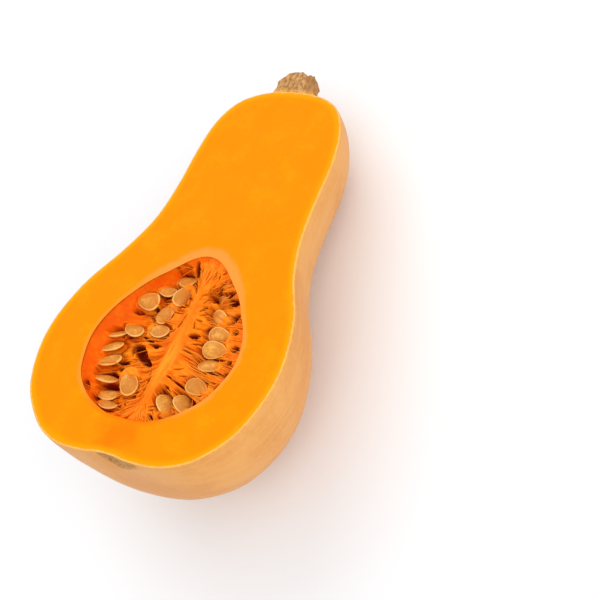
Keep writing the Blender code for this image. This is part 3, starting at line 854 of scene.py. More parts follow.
def flesh_finish(colours):
    finish = Finish("squash_flesh")
    finish.coat = finish.mottle(colours.flesh, colours.flesh_deep, 95.0, 620.0, 0.55)["Colour"]
    finish.over("blush", colours.flesh_red)
    finish.over("outer", colours.flesh_yellow)
    finish.over("pith", colours.pith)
    wall = finish.mottle(colours.wall, colours.wall_deep, 130.0, 520.0, 0.5, finish.stretched(1.0, 1.0, 0.35))
    finish.over("wall", wall["Colour"])
    finish.wetness(90.0, 0.34, 0.52, detail=3.0)
    finish.constants(Specular_IOR_Level=0.02)
    finish.grain(520.0, 1800.0, 0.6, height=0.12, strength=0.45)
    return finish.material


def pulp_finish(colours):
    finish = Finish("pulp_tissue")
    finish.coat = finish.mottle(colours.pulp, colours.pulp_red, 110.0, 600.0, 0.5)["Colour"]
    # Painted highlight: the strand colour on the crests of the threads and the lips of the slits, and paler
    # pulp over the seeds
    finish.over("crest", colours.strand)
    finish.over("bank", finish.mottle(colours.wall, colours.wall_deep, 150.0, 520.0, 0.4)["Colour"])
    finish.over("ridge", colours.ridge)
    # Painted shade in the pulp's slits, pockets and furrows, and round the seeds
    finish.over("hollow", colours.pulp_deep)
    finish.wetness(260.0, 0.24, 0.42)
    finish.constants(Specular_IOR_Level=0.04)
    finish.grain(700.0, 2200.0, 0.5, height=0.15, strength=0.5)
    return finish.material


def strand_finish(colours):
    finish = Finish("pulp_strand")
    finish.coat = opaque(colours.pulp)
    finish.over(rise_of(finish.tree, mark_of(finish.tree, "shade"), 0.15, 0.95), colours.strand)
    # Painted shade on the strands that lie in the slits
    finish.over("hollow", colours.pulp_deep)
    finish.wetness(400.0, 0.22, 0.4)
    finish.constants(Specular_IOR_Level=0.15)
    return finish.material


def seed_finish(colours):
    finish = Finish("seed_hull")
    tree = finish.tree
    finish.coat = finish.mottle(colours.seed, colours.seed_dark, 170.0, 800.0, 0.5)["Colour"]
    finish.over(maths_of(tree, "MULTIPLY", mark_of(tree, "streak"), 0.55), colours.seed_dark)
    finish.over("margin", colours.seed_margin)
    # Where the hull is wet, pulp clings to it.
    wet = noise_of(tree, finish.place, 240.0, 2.0, 0.5, 0.6)
    stained = maths_of(tree, "MULTIPLY", rise_of(tree, wet, 0.5, 0.75), 0.4)
    finish.over(maths_of(tree, "MAXIMUM", stained, mark_of(tree, "film")), colours.seed_film)
    finish.feed("Roughness", rise_of(tree, wet, *WET_RANGE, 0.2, 0.42))
    finish.constants(Specular_IOR_Level=0.1, Coat_Weight=0.05, Coat_Roughness=0.15)
    finish.grain(900.0, 2600.0, 0.5, height=0.12, strength=0.5)
    return finish.material


def stem_finish(colours):
    finish = Finish("stem_cork")
    fibres = finish.stretched(1.0, 0.55, 1.0)
    cut = finish.mottle(colours.cork_pale, colours.cork_dark, 760.0, 1800.0, 0.3, fibres)
    finish.coat = cut["Colour"]
    finish.over("bark", finish.mottle(colours.bark, colours.cork_dark, 420.0, 1300.0, 0.3, fibres)["Colour"])
    finish.over("foot", colours.stem_foot)
    finish.feed("Roughness", rise_of(finish.tree, cut["Share"], 0.0, 1.0, 0.7, 0.92))
    finish.constants(Specular_IOR_Level=0.05)
    finish.grain(900.0, 2600.0, 0.6, height=0.35, strength=0.8, place=fibres)
    return finish.material


def floor_finish(stage):
    finish = Finish("floor_paper")
    finish.coat = opaque(stage.floor)
    finish.over(noise_of(finish.tree, finish.place, 3.0, 2.0), tuple(c * 0.985 for c in stage.floor))
    finish.constants(Roughness=0.8, Specular_IOR_Level=0.1)
    return finish.material


# Pieces


def make_piece(name, skin, material, coarse, fine, offset):
    """A skin as a piece, roughened by noise. Coarse and fine are each a height in mm and a scale."""
    return run_nodes(
        add_object(name, skin.mesh(name)), relief_tree(), coarse_height=coarse[0] * MM, coarse_scale=coarse[1],
        fine_height=fine[0] * MM, fine_scale=fine[1], offset=offset, material=material,
    )


def skin_grid(inset):
    """The outside of the half, moved in by inset: its points, its two poles and its outward directions."""
    along, half, drift = PROFILE[1:-1].T
    angle = np.linspace(0, np.pi, SKIN_ARC + 1)
    grid = np.empty((len(along), len(angle), 3))
    grid[..., 0] = drift[:, None] + half[:, None] * np.cos(angle)
    grid[..., 1] = along[:, None]
    grid[..., 2] = -DEPTH_SHARE * half[:, None] * np.sin(angle)
    outward = np.cross(np.gradient(grid, axis=1), np.gradient(grid, axis=0))
    outward[:, (0, -1), 2] = 0
    outward /= np.linalg.norm(outward, axis=2, keepdims=True)
    poles = [np.array((PROFILE[k, 2], PROFILE[k, 0] + way * inset, 0.0)) for k, way in ((0, 1), (-1, -1))]
    return grid - outward * inset, poles, outward


def edge_loop(grid, poles):
    """The closed line along the cut: the blossom pole, right edge, seat of the stem and left edge."""
    return np.vstack((poles[0], grid[:, 0], poles[1], grid[::-1, -1]))


def rind_relief(grid, outward):
    """The rind's own shape: faint lengthwise ribs, and the ring and crumbled middle of the blossom scar."""
    x, y, z = np.moveaxis(grid, -1, 0)
    angle = np.linspace(0, np.pi, grid.shape[1])[None, :]
    fade = smoothstep(0.02 * LENGTH, 0.2 * LENGTH, y) * smoothstep(0.99 * LENGTH, 0.8 * LENGTH, y)
    ribs = np.cos(RIBS * angle + 0.6 * np.sin(y / (30 * MM))) * fade * RIB_HEIGHT
    uneven = patches(x, z, 5, 3) * 0.12
    away = np.hypot((x - SCAR_ACROSS) / SCAR_WIDTH, z / SCAR_DROP) + uneven
    near = smoothstep(0.12 * LENGTH, 0.08 * LENGTH, y)
    scar = smoothstep(1.0, 0.86, away) * near
    lip = np.exp(-(((away - 0.95) / 0.09) ** 2)) * near * SCAR_LIP
    crumbs = patches(x, z, 0.9, 5) * SCAR_CRUMBS - SCAR_SINK
    # The cut edge keeps its place, so that it meets the flesh.
    depth = smoothstep(0.0, 2.0 * MM, -z)
    rise = ribs + lip + crumbs * scar
    return grid + outward * (rise * depth)[..., None], scar


def build_rind(shape, colours):
    outer, poles, outward = skin_grid(0.0)
    outer, scar = rind_relief(outer, outward)
    inner, inner_poles, _ = skin_grid(shape.rind_thickness)
    bevel, bevel_poles, _ = skin_grid(shape.rim_rounding)
    low = -shape.rim_rounding
    outer[:, (0, -1), 2] = low
    poles = [pole + np.array((0, 0, low)) for pole in poles]
    skin = Skin()
    angle = np.linspace(0, 1, outer.shape[1])[None, :] + np.zeros(outer.shape[:2])
    along = outer[..., 1] / LENGTH
    relief = smoothstep(0.5 * MM, 4 * MM, -outer[..., 2])
    index = skin.grid(outer, around=angle, along=along, scar=scar, relief=relief)
    marks = {"around": 0.5, "along": 0.0, "relief": 0.0}
    skin.fan(index[0], poles[0], closed=False, **marks, scar=0.7)
    skin.fan(index[-1], poles[1], closed=False, **marks)
    skin.dome(inner, inner_poles)
    loops = np.stack((edge_loop(outer, poles), edge_loop(bevel, bevel_poles), edge_loop(inner, inner_poles)))
    rim = np.array((0.35, 1.0, 1.0))[:, None] + np.zeros(loops.shape[:2])
    skin.grid(loops, wrap=True, rim=rim)
    piece = make_piece("rind_shell", skin, rind_finish(colours), (0.4, 38.0), (0.05, 320.0), offset=0.0)
    finish_piece(piece, "squash_half")


def face_rows(outline):
    """The cut face as rows of points from its outline to the cavity's edge, and each column's angle there."""
    away = outline[:, :2] - CAVITY_MIDDLE
    straight = np.unwrap(np.arctan2(away[:, 1], away[:, 0]))
    steps = np.linalg.norm(np.roll(outline, -1, axis=0) - outline, axis=1)
    reach = np.concatenate(([0], np.cumsum(steps)[:-1])) / steps.sum()
    even = straight[0] + 2 * np.pi * reach
    angle = straight * 0.55 + even * 0.45
    rim = cavity_wall(angle, np.zeros_like(angle))
    share = (1 - np.cos(np.linspace(0, np.pi, FACE_ROWS + 1)))[:, None, None] / 2
    return outline[None] * (1 - share) + rim[None] * share, angle


def nearest(points, line):
    """How far each point of a grid lies from a line of points."""
    gaps = [np.linalg.norm(row[:, None] - line[None, :, :2], axis=2).min(axis=1) for row in points]
    return np.stack(gaps)


def build_flesh(shape, colours):
    inner, poles, _ = skin_grid(shape.rind_thickness)
    outline = edge_loop(inner, poles)
    rows, angle = face_rows(outline)
    x, y = rows[..., 0], rows[..., 1]
    from_rind = nearest(rows[..., :2], outline)
    from_cavity = nearest(rows[..., :2], rows[-1])
    # The pale lining is thick at the cavity's point, thin at its sides and gone at its blossom end.
    at = np.arctan2(y - CAVITY_MIDDLE[1], x - CAVITY_MIDDLE[0])
    tip = smoothstep(0.55, 1.0, np.sin(at))
    tail = smoothstep(-0.55, -0.95, np.sin(at))
    width = LINING_WIDTH + LINING_POINT * tip
    uneven = 0.5 * MM * patches(x, y, 2.5, 10)
    pith = smoothstep(width, 0.55 * width, from_cavity + uneven) * (1 - tail) * (0.75 + 0.25 * tip)
    pith *= 1 - 0.35 * smoothstep(-0.2, -1, np.cos(at)) * (1 - tip)
    blush_away = np.hypot(x - BLUSH_ACROSS, y - BLUSH_ALONG) / BLUSH_REACH
    blush_away += 0.3 * patches(x, y, 5, 9) + 0.12 * patches(x, y, 1.6, 8)
    blush = smoothstep(1.3, 0.1, blush_away)
    blush = np.maximum(blush, smoothstep(3.0 * MM, 0.3 * MM, from_cavity) * tail)
    outer = smoothstep(YELLOW_WIDTH, 0.4 * MM, from_rind) * 0.8
    relief = smoothstep(0.0, 2.0 * MM, from_rind) * smoothstep(0.0, 1.0 * MM, from_cavity) * 0.4
    skin = Skin()
    skin.grid(rows, wrap=True, outer=outer, pith=pith, blush=blush * 0.65, relief=relief)
    # A small rounding leads over the edge into the cavity's wall.
    drops = CAVITY_DEPTH * np.sin(np.linspace(0, np.pi / 2, WALL_ROWS + 1)[:-1]) ** 1.6
    edge_drops, edge_outs = np.array(EDGE_ROUNDING).T * MM
    drops = np.concatenate((edge_drops, drops[drops > 0.8 * MM]))
    insets = -np.concatenate((edge_outs, np.full(len(drops) - len(edge_outs), WALL_CLEARANCE)))
    wall = np.stack([cavity_wall(angle, np.full_like(angle, d), i) for d, i in zip(drops, insets)])
    down = -wall[..., 2]
    colour = smoothstep(0.0, 1.6 * MM, down)
    blush = np.broadcast_to(tail[-1] * 0.8, down.shape)
    index = skin.grid(wall, wrap=True, wall=colour, pith=pith[-1] * (1 - colour), blush=blush)
    bottom = (CAVITY_MIDDLE[0], CAVITY_MIDDLE[1], -CAVITY_DEPTH - WALL_CLEARANCE)
    skin.fan(index[-1][:-1], bottom, wall=1.0)
    skin.dome(inner, poles)
    piece = make_piece("flesh", skin, flesh_finish(colours), (0.35, 110.0), (0.12, 420.0), offset=1.0)
    finish_piece(piece, "squash_half")


def ridge_place(along):
    """How far across the pulp's ridge lies, at this distance from the blossom end."""
    share = (along - RIDGE_WIDEST) / (55 * MM)
    return CAVITY_MIDDLE[0] + RIDGE_BULGE * (1 - share * share)


def tissue_lines(angle, share):
    """Places at this share of the way from the ridge to the wall, along the lines of the pulp's tissue."""
    up = np.sin(angle)
    start_y = RIDGE_MIDDLE + np.where(up > 0, RIDGE_UP, RIDGE_DOWN) * up
    start = np.stack((ridge_place(start_y), start_y), axis=-1)
    end = cavity_wall(angle, np.zeros_like(angle), -PULP_TUCK)[..., :2]
    run = np.linalg.norm(end - start, axis=-1)
    bend = start * 0.55 + end * 0.45
    bend[..., 1] += 0.18 * run * up
    t = share[..., None]
    return start * (1 - t) ** 2 + bend * 2 * t * (1 - t) + end * t * t


def bed_drop(x, y, angle, share):
    """The pulp's surface without slits and hollows: its drop, and how much of it is the pale ridge."""
    up, side = np.sin(angle), smoothstep(-0.25, 0.25, np.cos(angle))
    fan = smoothstep(0.5, 0.9, up)
    ends = np.maximum(smoothstep(80 * MM, 98 * MM, y), smoothstep(32 * MM, 20 * MM, y))
    crest = CREST_DROP * (1 - 0.6 * ends)
    right = RIGHT_DROP + (TOP_DROP - RIGHT_DROP) * fan
    right = crest + (right - crest) * smoothstep(0.08, 0.45, share)
    left = LEFT_DROP + LEFT_SINK * smoothstep(0.35, 0.7, share)
    left = crest + (left - crest) * smoothstep(0.03, 0.3, share)
    drop = left + (right - left) * side
    solid = np.maximum(smoothstep(0.93, 0.995, up), smoothstep(-0.82, -0.98, up))
    drop = drop * (1 - 0.75 * solid) + 0.3 * MM * solid
    # The pulp climbs to the cavity's edge in a hollow curve.
    bank = RIGHT_BANK + (LEFT_BANK - RIGHT_BANK) * (1 - side) * (1 - solid)
    climb = np.clip((share - 1 + bank) / bank, 0, 1)
    drop = EDGE_DROP + (drop - EDGE_DROP) * (1 - climb**2) ** 0.75
    half_width = RIDGE_HALF_WIDTH * np.exp(-(((y - RIDGE_WIDEST) / RIDGE_SPREAD) ** 2)) + 0.2 * MM
    beside = np.abs(x - ridge_place(y))
    ridge = smoothstep(half_width + 2.2 * MM, half_width - 1.2 * MM, beside)
    drop = drop * (1 - ridge) + crest * ridge
    groove = np.exp(-(((x - ridge_place(y) - 0.6 * MM) / GROOVE_HALF_WIDTH) ** 2))
    groove *= smoothstep(34 * MM, 44 * MM, y) * smoothstep(76 * MM, 66 * MM, y)
    return drop + GROOVE_DROP * groove, ridge


def sighted(x, y, drop):
    """Where a place that lies below the cut face is seen on it from the camera."""
    eye = camera_eye()
    share = drop / (eye.z + drop)
    return x + (eye.x - x) * share, y + (eye.y - y) * share


def pulp_hollows(x, y):
    """How far the pulp's surface sinks into its slits and pockets, and how much it swells at their lips."""
    sunk, lip = np.zeros_like(x), np.zeros_like(x)
    ragged = patches(x, y, 1.3, 17) * 0.16 + patches(x, y, 3.5, 18) * 0.14
    for x0, y0, x1, y1, width, depth in SLITS:
        run = Vector((x1 - x0, y1 - y0))
        half = (run.length / 2 + width * 0.6) * MM
        place = (x0 + x1) / 2 * MM, (y0 + y1) / 2 * MM
        c, s = run.normalized()
        near = np.hypot(x - place[0], y - place[1]) < half + 3 * MM
        dx, dy = x[near] - place[0], y[near] - place[1]
        away = np.hypot((dx * c + dy * s) / half, (dy * c - dx * s) / (width * MM)) + ragged[near]
        soft = min(max(0.3, 0.35 / width), 0.7)
        sunk[near] = np.maximum(sunk[near], depth * MM * smoothstep(1 + soft, 1 - soft, away))
        lip[near] = np.maximum(lip[near], smoothstep(1 + 0.9 / width, 1 + 0.25 / width, away))
    return sunk, lip * smoothstep(1.0 * MM, 0.3 * MM, sunk)


def seat_seeds(x, y, height):
    """Lowers the pulp under each seed and round most of its edge, and lets it climb at the seed's point."""
    gap, cover = np.zeros_like(x), np.zeros_like(x)
    uneven = patches(x, y, 1.6, 31)
    for seed in SEEDS:
        inside, middle = seed.over(x, y)
        # How far each place lies towards the seed's point, from -1 to 1
        point_x, point_y = seed.axes[0, :2] / seed.half[0]
        towards = (x - seed.middle[0]) * point_x + (y - seed.middle[1]) * point_y
        dome = seed.half[2] * np.sqrt(np.clip(1 - inside**2, 0, 1))
        start = COVERED.get(seed.node, COVER_START)
        collar = smoothstep(start, start + 0.35, towards + 0.22 * uneven) * smoothstep(1.5, 1.1, inside)
        bed = smoothstep(1.1, 0.96, inside) * (1 - collar)
        under = np.minimum(height, middle - dome - SEED_CLEARANCE)
        lid = np.maximum(height, middle + dome + SEED_CLEARANCE)
        # Round the seed the pulp sinks to a little below the seed's middle.
        ring = smoothstep(1.6, 1.12, inside) * smoothstep(start + 0.15, start - 0.35, towards) * (1 - bed)
        low = np.minimum(height, middle + 0.4 * MM - SEED_GAP)
        height = height + (low - height) * ring
        height = height * (1 - bed - collar) + under * bed + lid * collar
        gap = np.maximum(gap, ring)
        cover = np.maximum(cover, collar)
    # The ring round each seed, less where pulp covers it, is also returned for painted shade in the trough
    return height, gap * (1 - cover), cover


def pulp_surface(angle, share):
    """The pulp's upper surface as a grid of points, with the marks that its colours follow."""
    angle, share = np.broadcast_arrays(angle[None, :], share[:, None])
    place = tissue_lines(angle, share)
    x, y = place[..., 0], place[..., 1]
    drop, ridge = bed_drop(x, y, angle, share)
    # Lines of tissue: raised threads that run from the ridge to the wall
    turn = angle * 180 / np.pi
    threads = ripple(turn / 2.6, share * 4, 11) + 0.6 * ripple(turn / 5.5 + 40, share * 3, 12)
    threads += 0.35 * ripple(turn / 1.2, share * 8, 13)
    left = smoothstep(0.25, -0.25, np.cos(angle))
    bank = smoothstep(1 - 0.9 * LEFT_BANK, 1 - 0.3 * LEFT_BANK, share) * left
    away = smoothstep(0.02, 0.2, share) * (1 - 0.7 * ridge) * (1 - 0.7 * bank) * smoothstep(1.0, 0.95, share)
    lengthwise = ripple((x - ridge_place(y)) / (0.8 * MM), y / (8 * MM), 16) * ridge
    crest = smoothstep(-0.1, 1.1, threads)
    bumps = patches(x, y, 2.4, 14) * 0.3 + patches(x, y, 7, 15) * 0.7
    between = smoothstep(-0.3, -1.0, threads) * away * (1 - ridge)
    drop = drop - THREAD_RISE * threads * away + FURROW_DROP * between - RIDGE_LINES * lengthwise
    drop -= BUMP_RISE * bumps * (1 - ridge) * smoothstep(1.0, 0.93, share)
    drop = np.maximum(drop, 0.25 * MM)
    sunk, lip = pulp_hollows(*sighted(x, y, drop))
    drop = np.maximum(drop - LIP_RISE * lip, LEAST_DROP)
    height, gap, cover = seat_seeds(x, y, -drop - sunk)
    points = np.concatenate((place, height[..., None]), axis=-1)
    # Painted shade: darker in the furrows between the threads and along the ridge, in the slits and pockets,
    # and in the troughs round the seeds, and less where pulp covers a seed
    furrow_painted_shade = 0.3 * smoothstep(-0.1, -0.8, lengthwise) + 0.45 * between
    hollow = np.clip(smoothstep(0.3 * MM, 2.2 * MM, sunk) + 0.7 * gap + furrow_painted_shade, 0, 1) * (1 - 0.8 * cover)
    # Painted highlight: the crests of the threads and the lips of the slits are paler; the pulp is paler as
    # well where it covers a seed
    crest = np.maximum(crest * away * 0.6, np.maximum(0.7 * cover, 0.5 * lip))
    pale = 0.35 + 0.6 * np.exp(-(((y - RIDGE_WIDEST) / (11 * MM)) ** 2))
    marks = {"hollow": hollow, "ridge": ridge * pale, "crest": crest, "bank": bank, "relief": 0.5 * away}
    return points, marks


def build_pulp(colours):
    # Columns lie evenly to both sides of straight up and down, so that each meets its mirror on the ridge.
    angle = (np.arange(PULP_COLUMNS) + 0.5) * 2 * np.pi / PULP_COLUMNS - np.pi / 2
    share = np.linspace(0, 1, PULP_ROWS + 1)
    points, marks = pulp_surface(angle, share)
    twin = (PULP_COLUMNS - 1 - np.arange(PULP_COLUMNS)) % PULP_COLUMNS
    points[0] = (points[0] + points[0][twin]) / 2
    skin = Skin()
    skin.grid(points, wrap=True, **marks)
    edge = np.clip(-points[-1, :, 2], 0, CAVITY_DEPTH)
    depth = CAVITY_DEPTH - 0.3 * MM
    sinks = np.sin(np.linspace(0, np.pi / 2, BOWL_ROWS + 1)[:-1])
    bowl = np.stack([cavity_wall(angle, edge + (depth - edge) * s, -BOWL_CLEARANCE) for s in sinks])
    bowl[0] = points[-1]
    # Painted shade on the pulp's underside
    index = skin.grid(bowl, wrap=True, hollow=0.5)
    skin.fan(index[-1][:-1], (CAVITY_MIDDLE[0], CAVITY_MIDDLE[1], -depth))
    piece = make_piece("pulp_bed", skin, pulp_finish(colours), (0.25, 260.0), (0.12, 700.0), offset=2.0)
    finish_piece(piece, "pulp")


def over_seeds(x, y, height, over):
    """Leads lines of points over the seeds that they meet, or under them where over is False."""
    for seed in SEEDS:
        inside, middle = seed.over(x, y)
        dome = seed.half[2] * np.sqrt(np.clip(1 - np.minimum(inside, 1) ** 2, 0, 1))
        near = smoothstep(1.25, 1.0, inside)
        above = np.maximum(height, height + near * (middle + dome + STRAND_OVER - height))
        below = np.minimum(height, height + near * (middle - dome - STRAND_UNDER - height))
        height = np.where(over, above, below)
    return height


def guide_lines(name, lines, painted_shades):
    """Lines of points as an object of edges, with the painted shade of each point."""
    count, steps = lines.shape[:2]
    turn = np.array(SQUASH)
    index = np.arange(count * steps).reshape(count, steps)
    edges = np.stack((index[:, :-1], index[:, 1:]), axis=-1).reshape(-1, 2)
    mesh = bpy.data.meshes.new(name)
    mesh.from_pydata((lines.reshape(-1, 3) @ turn[:3, :3].T + turn[:3, 3]).tolist(), edges.tolist(), [])
    layer = mesh.attributes.new("hollow", "FLOAT", "POINT")
    layer.data.foreach_set("value", painted_shades.astype(np.float32).ravel())
    return add_object(name, mesh)


def strand_lines(spans, draw):
    """Lines along the tissue, and how much painted shade each point gets. Most follow its hollows, and a few
    bridge them.
    """
    rows = [span for span in spans for _ in range(span[2])]
    along = np.linspace(0, 1, STRAND_POINTS)
    angles, shares, lifts = [], [], []
    for low, high, _, inner, outer, lift in rows:
        middle = draw.uniform(low, high)
        angles.append(np.radians(middle + draw.uniform(-STRAND_TURN, STRAND_TURN) * (along - 0.5)))
        start = draw.uniform(inner, outer - 0.1)
        shares.append(start + along * min(draw.uniform(0.25, 0.7), outer - start))
        lifts.append(draw.uniform(0, lift))
    angle, share = np.array(angles), np.array(shares)
    x, y = np.moveaxis(tissue_lines(angle, share), -1, 0)
    drop, _ = bed_drop(x, y, angle, share)
    sunk, _ = pulp_hollows(*sighted(x, y, drop))
    bridging = draw.random((len(rows), 1)) < BRIDGING
    arch = np.sqrt(4 * along * (1 - along))[None, :]
    height = -drop - np.where(bridging, 0, 0.9) * sunk
    height += np.array(lifts)[:, None] * arch * MM - STRAND_TUCK * (1 - arch)
    height = over_seeds(x, y, height, draw.random((len(rows), 1)) < OVER_SEEDS)
    lines = np.stack((x, y, np.minimum(height, -0.3 * MM)), axis=-1)
    # Painted shade: strands sunk in a slit are darkened as deep as it goes, and free ones a little
    return lines, np.where(bridging, FREE_SHADE, smoothstep(0.3 * MM, 2.6 * MM, sunk))


def web_lines():
    """The threads of WEBS, arched over the pulp and over the seeds that they meet."""
    angle = (np.arange(0, 360, 3) + 1.5) * np.pi / 180
    angle, share = np.meshgrid(angle, np.linspace(0, 1, 60))
    x, y = np.moveaxis(tissue_lines(angle, share), -1, 0)
    drop, _ = bed_drop(x, y, angle, share)
    seen_x, seen_y = sighted(x, y, drop)
    along = np.linspace(0, 1, STRAND_POINTS)
    lines = []
    for x0, y0, x1, y1 in WEBS:
        points = []
        for t in along:
            gap = (seen_x - (x0 + (x1 - x0) * t) * MM) ** 2 + (seen_y - (y0 + (y1 - y0) * t) * MM) ** 2
            # A blend of the nearest places on the pulp gives a smooth line.
            weight = np.exp(-gap / WEB_BLEND**2)
            weight /= weight.sum()
            points.append(((x * weight).sum(), (y * weight).sum(), -(drop * weight).sum()))
        lines.append(points)
    lines = np.array(lines)
    lines[..., 2] = over_seeds(lines[..., 0], lines[..., 1], lines[..., 2] + 0.1 * MM, True)
    lines[..., 2] -= (1 - np.sqrt(4 * along * (1 - along))) * 0.5 * MM
    return lines


def build_strands(pulp, colours):
    draw = np.random.default_rng(RANDOM_SEED + 1)
    finish = strand_finish(colours)
    webs = web_lines()
    bundles = [(name, *strand_lines(spans, draw), pulp.strand_copies)
               for name, spans in (("strands_right", RIGHT_SPANS), ("strands_left", LEFT_SPANS))]
    bundles.append(("webs", webs, np.full(webs.shape[:2], FREE_SHADE), WEB_COPIES))
    for name, lines, painted_shades, copies in bundles:
        piece = guide_lines(name, lines, painted_shades)
        run_nodes(
            piece, strand_tree(), copies=copies, spread=pulp.strand_spread, radius=pulp.strand_radius,
            waviness=pulp.strand_waviness, wave_scale=WAVE_SCALE, sides=5, seed=RANDOM_SEED, material=finish,
        )
        finish_piece(piece, "pulp")


def seed_side(seed, way, bend):
    """One side of a hull: a plump middle, a groove and a raised margin, with the marks for its colours."""
    turn = np.linspace(0, 2 * np.pi, SEED_SIDES, endpoint=False)[None, :]
    share = np.array(HULL_SHARES)[:, None]
    point = 1 - 0.3 * smoothstep(0.55, 1.0, -np.cos(turn))
    x = -np.cos(turn) * share
    y = np.sin(turn) * (1 + HULL_SKEW * np.cos(turn)) / 1.04 * point * share
    body = HULL_PLUMP * np.sqrt(np.clip(1 - (share / HULL_BODY) ** 2, 0, 1))
    margin = HULL_MARGIN * np.sqrt(np.clip(1 - ((share - HULL_BODY) / (1 - HULL_BODY)) ** 2, 0, 1))
    lift = np.maximum(body, margin) + np.zeros_like(x)
    lift[-1] = 0
    local = np.stack((x, y, way * lift + bend[0] * x * x + bend[1] * x * y), axis=-1) * seed.half
    marks = {
        "margin": smoothstep(HULL_BODY - 0.07, HULL_BODY, share) + np.zeros_like(x),
        "film": smoothstep(0.35, 0.95, x) * 0.6,
        "streak": smoothstep(0.0, 0.9, ripple(y * 6 + 10 * seed.middle[1] / MM, x * 1.3, 41)),
    }
    return local @ seed.axes + seed.middle, marks


def build_seeds(colours):
    draw = np.random.default_rng(RANDOM_SEED + 2)
    finish = seed_finish(colours)
    for seed in SEEDS:
        bend = draw.uniform(-0.25, 0.25, 2)
        skin = Skin()
        for way in (1, -1):
            points, marks = seed_side(seed, way, bend)
            index = skin.grid(points, wrap=True, relief=0.7, **marks)
            middle = seed.middle + seed.axes[2] * seed.half[2] * HULL_PLUMP * way
            skin.fan(index[0][:-1], middle, relief=0.7)
        name = seed.node.replace("seed", "seed_hull")
        piece = make_piece(name, skin, finish, (0.16, 330.0), (0.05, 1200.0), offset=3.0)
        finish_piece(piece, seed.node)


def build_stem(colours):
    """The stub: ribbed bark round its back, and a rough cut face with a rounded top and a notched lobe."""
    cad = cad_points("stem")
    low, high = cad.min(axis=0), cad.max(axis=0)
    middle = (low[0] + high[0]) / 2
    base = (high[0] - low[0]) / 2
    height = np.linspace(0, 1, STEM_ROWS + 1)[:, None]
    angle = np.linspace(0, np.pi, STEM_SIDES + 1)[None, :]
    radius = base * (0.86 + 0.14 * (1 - height) ** 3) * (1 - 0.3 * smoothstep(0.55, 1.0, height) ** 2)
    rib = np.abs(np.sin(2.5 * angle + 0.5)) ** 0.7
    ribbed = radius * (0.86 + 0.14 * rib + 0.06 * ripple(angle * 5 + 0 * height, height * 3, 21))
    x = middle + STEM_SHIFT + ribbed * np.cos(angle) - STEM_LEAN * height
    down = ribbed * np.sin(angle)
    # The foot follows the shoulder of the squash and goes a little into it.
    shoulder = PROFILE[PROFILE[:, 0] > 0.85 * LENGTH]
    reach = np.hypot(x - shoulder[-1, 2], down / DEPTH_SHARE)
    foot = np.interp(reach, shoulder[::-1, 1], shoulder[::-1, 0]) - STEM_SINK
    top = high[1] - 1.8 * MM + 2.4 * MM * np.sqrt(np.sin(angle)) + 0.5 * MM * ripple(angle * 4, 0 * angle, 22)
    y = foot + (top - foot) * height
    bark = np.stack((x, y, -down), axis=-1)
    bark[:, (0, -1), 2] = 0
    skin = Skin()
    fade = smoothstep(0.25, 0.0, height) + 0 * x
    index = skin.grid(bark, bark=1.0, relief=smoothstep(0.0, 1.0 * MM, down), foot=fade)
    across = np.linspace(0, 1, STEM_ACROSS + 1)[None, :, None]
    cut = bark[:, :1] * (1 - across) + bark[:, -1:] * across
    # A rounded top, and a lower lobe to the right of a deep notch
    t = across[..., 0]
    past_notch = np.clip((t - STEM_NOTCH) / (1 - STEM_NOTCH), 0, 1)
    lobe_top = 0.9 * np.sin(np.pi * t / STEM_NOTCH)
    round_top = np.where(t > STEM_NOTCH, 2.6 * np.sqrt(np.sin(np.pi * past_notch)), lobe_top)
    cut[..., 1] += (round_top + 0.4 * ripple(t * 9, 0 * t, 24) * np.sin(np.pi * t)) * MM * height**2
    notch = np.exp(-(((t - STEM_NOTCH) / 0.035) ** 2)) * smoothstep(0.1, 0.6, height)
    lobe = smoothstep(STEM_NOTCH, STEM_NOTCH - 0.06, t) + 0 * height
    inner = np.sin(np.linspace(0, np.pi, STEM_ACROSS + 1))[None, :] ** 0.4 * np.sin(height * np.pi) ** 0.4
    fibres = ripple(cut[..., 0] / (0.8 * MM), cut[..., 1] / (2.6 * MM), 23) * 0.5 - 0.35
    cut[..., 2] += (fibres * 0.8 - 1.5 * notch - 0.6 * lobe) * inner * MM
    fade = smoothstep(0.35, 0.02, height) + 0 * inner
    face = skin.grid(cut, bark=np.maximum(lobe, notch), relief=inner, foot=fade)
    for row, lift in ((0, 0.0), (-1, -1.2 * MM)):
        loop = list(index[row]) + list(face[row][::-1][1:-1])
        ring = np.concatenate((bark[row], cut[row]))
        skin.fan(loop, ring.mean(axis=0) + np.array((0, lift, 0)), bark=0.4, relief=0.5)
    piece = make_piece("stem_stub", skin, stem_finish(colours), (0.9, 380.0), (0.35, 1300.0), offset=4.0)
    finish_piece(piece, "stem")


# The stage


def camera_back():
    """The direction from what the camera looks at to the camera, in the squash's own frame."""
    flat = math.cos(CAMERA_RISE)
    return Vector((flat * math.cos(CAMERA_TURN), flat * math.sin(CAMERA_TURN), math.sin(CAMERA_RISE)))


def camera_eye():
    return Vector((*CAMERA_AIM, 0)) + camera_back() * CAMERA_DISTANCE


def camera_place():
    """The camera's matrix, worked out in the squash's own frame."""
    back = camera_back()
    right = Vector((0, 0, 1)).cross(back).normalized()
    right.rotate(Matrix.Rotation(CAMERA_ROLL, 3, back))
    turned = Matrix((right, back.cross(right), back)).transposed().to_4x4()
    turned.translation = camera_eye()
    return SQUASH @ turned


def area_light(name, place, size, power):
    """A square soft light that looks at the middle of the squash."""
    light = bpy.data.lights.new(name, "AREA")
    light.size = size
    light.energy = power
    lamp = add_object(name, light)
    lamp.location = place
    lamp.rotation_euler = (Vector((0, 0, 0.05)) - lamp.location).to_track_quat("-Z", "Y").to_euler()


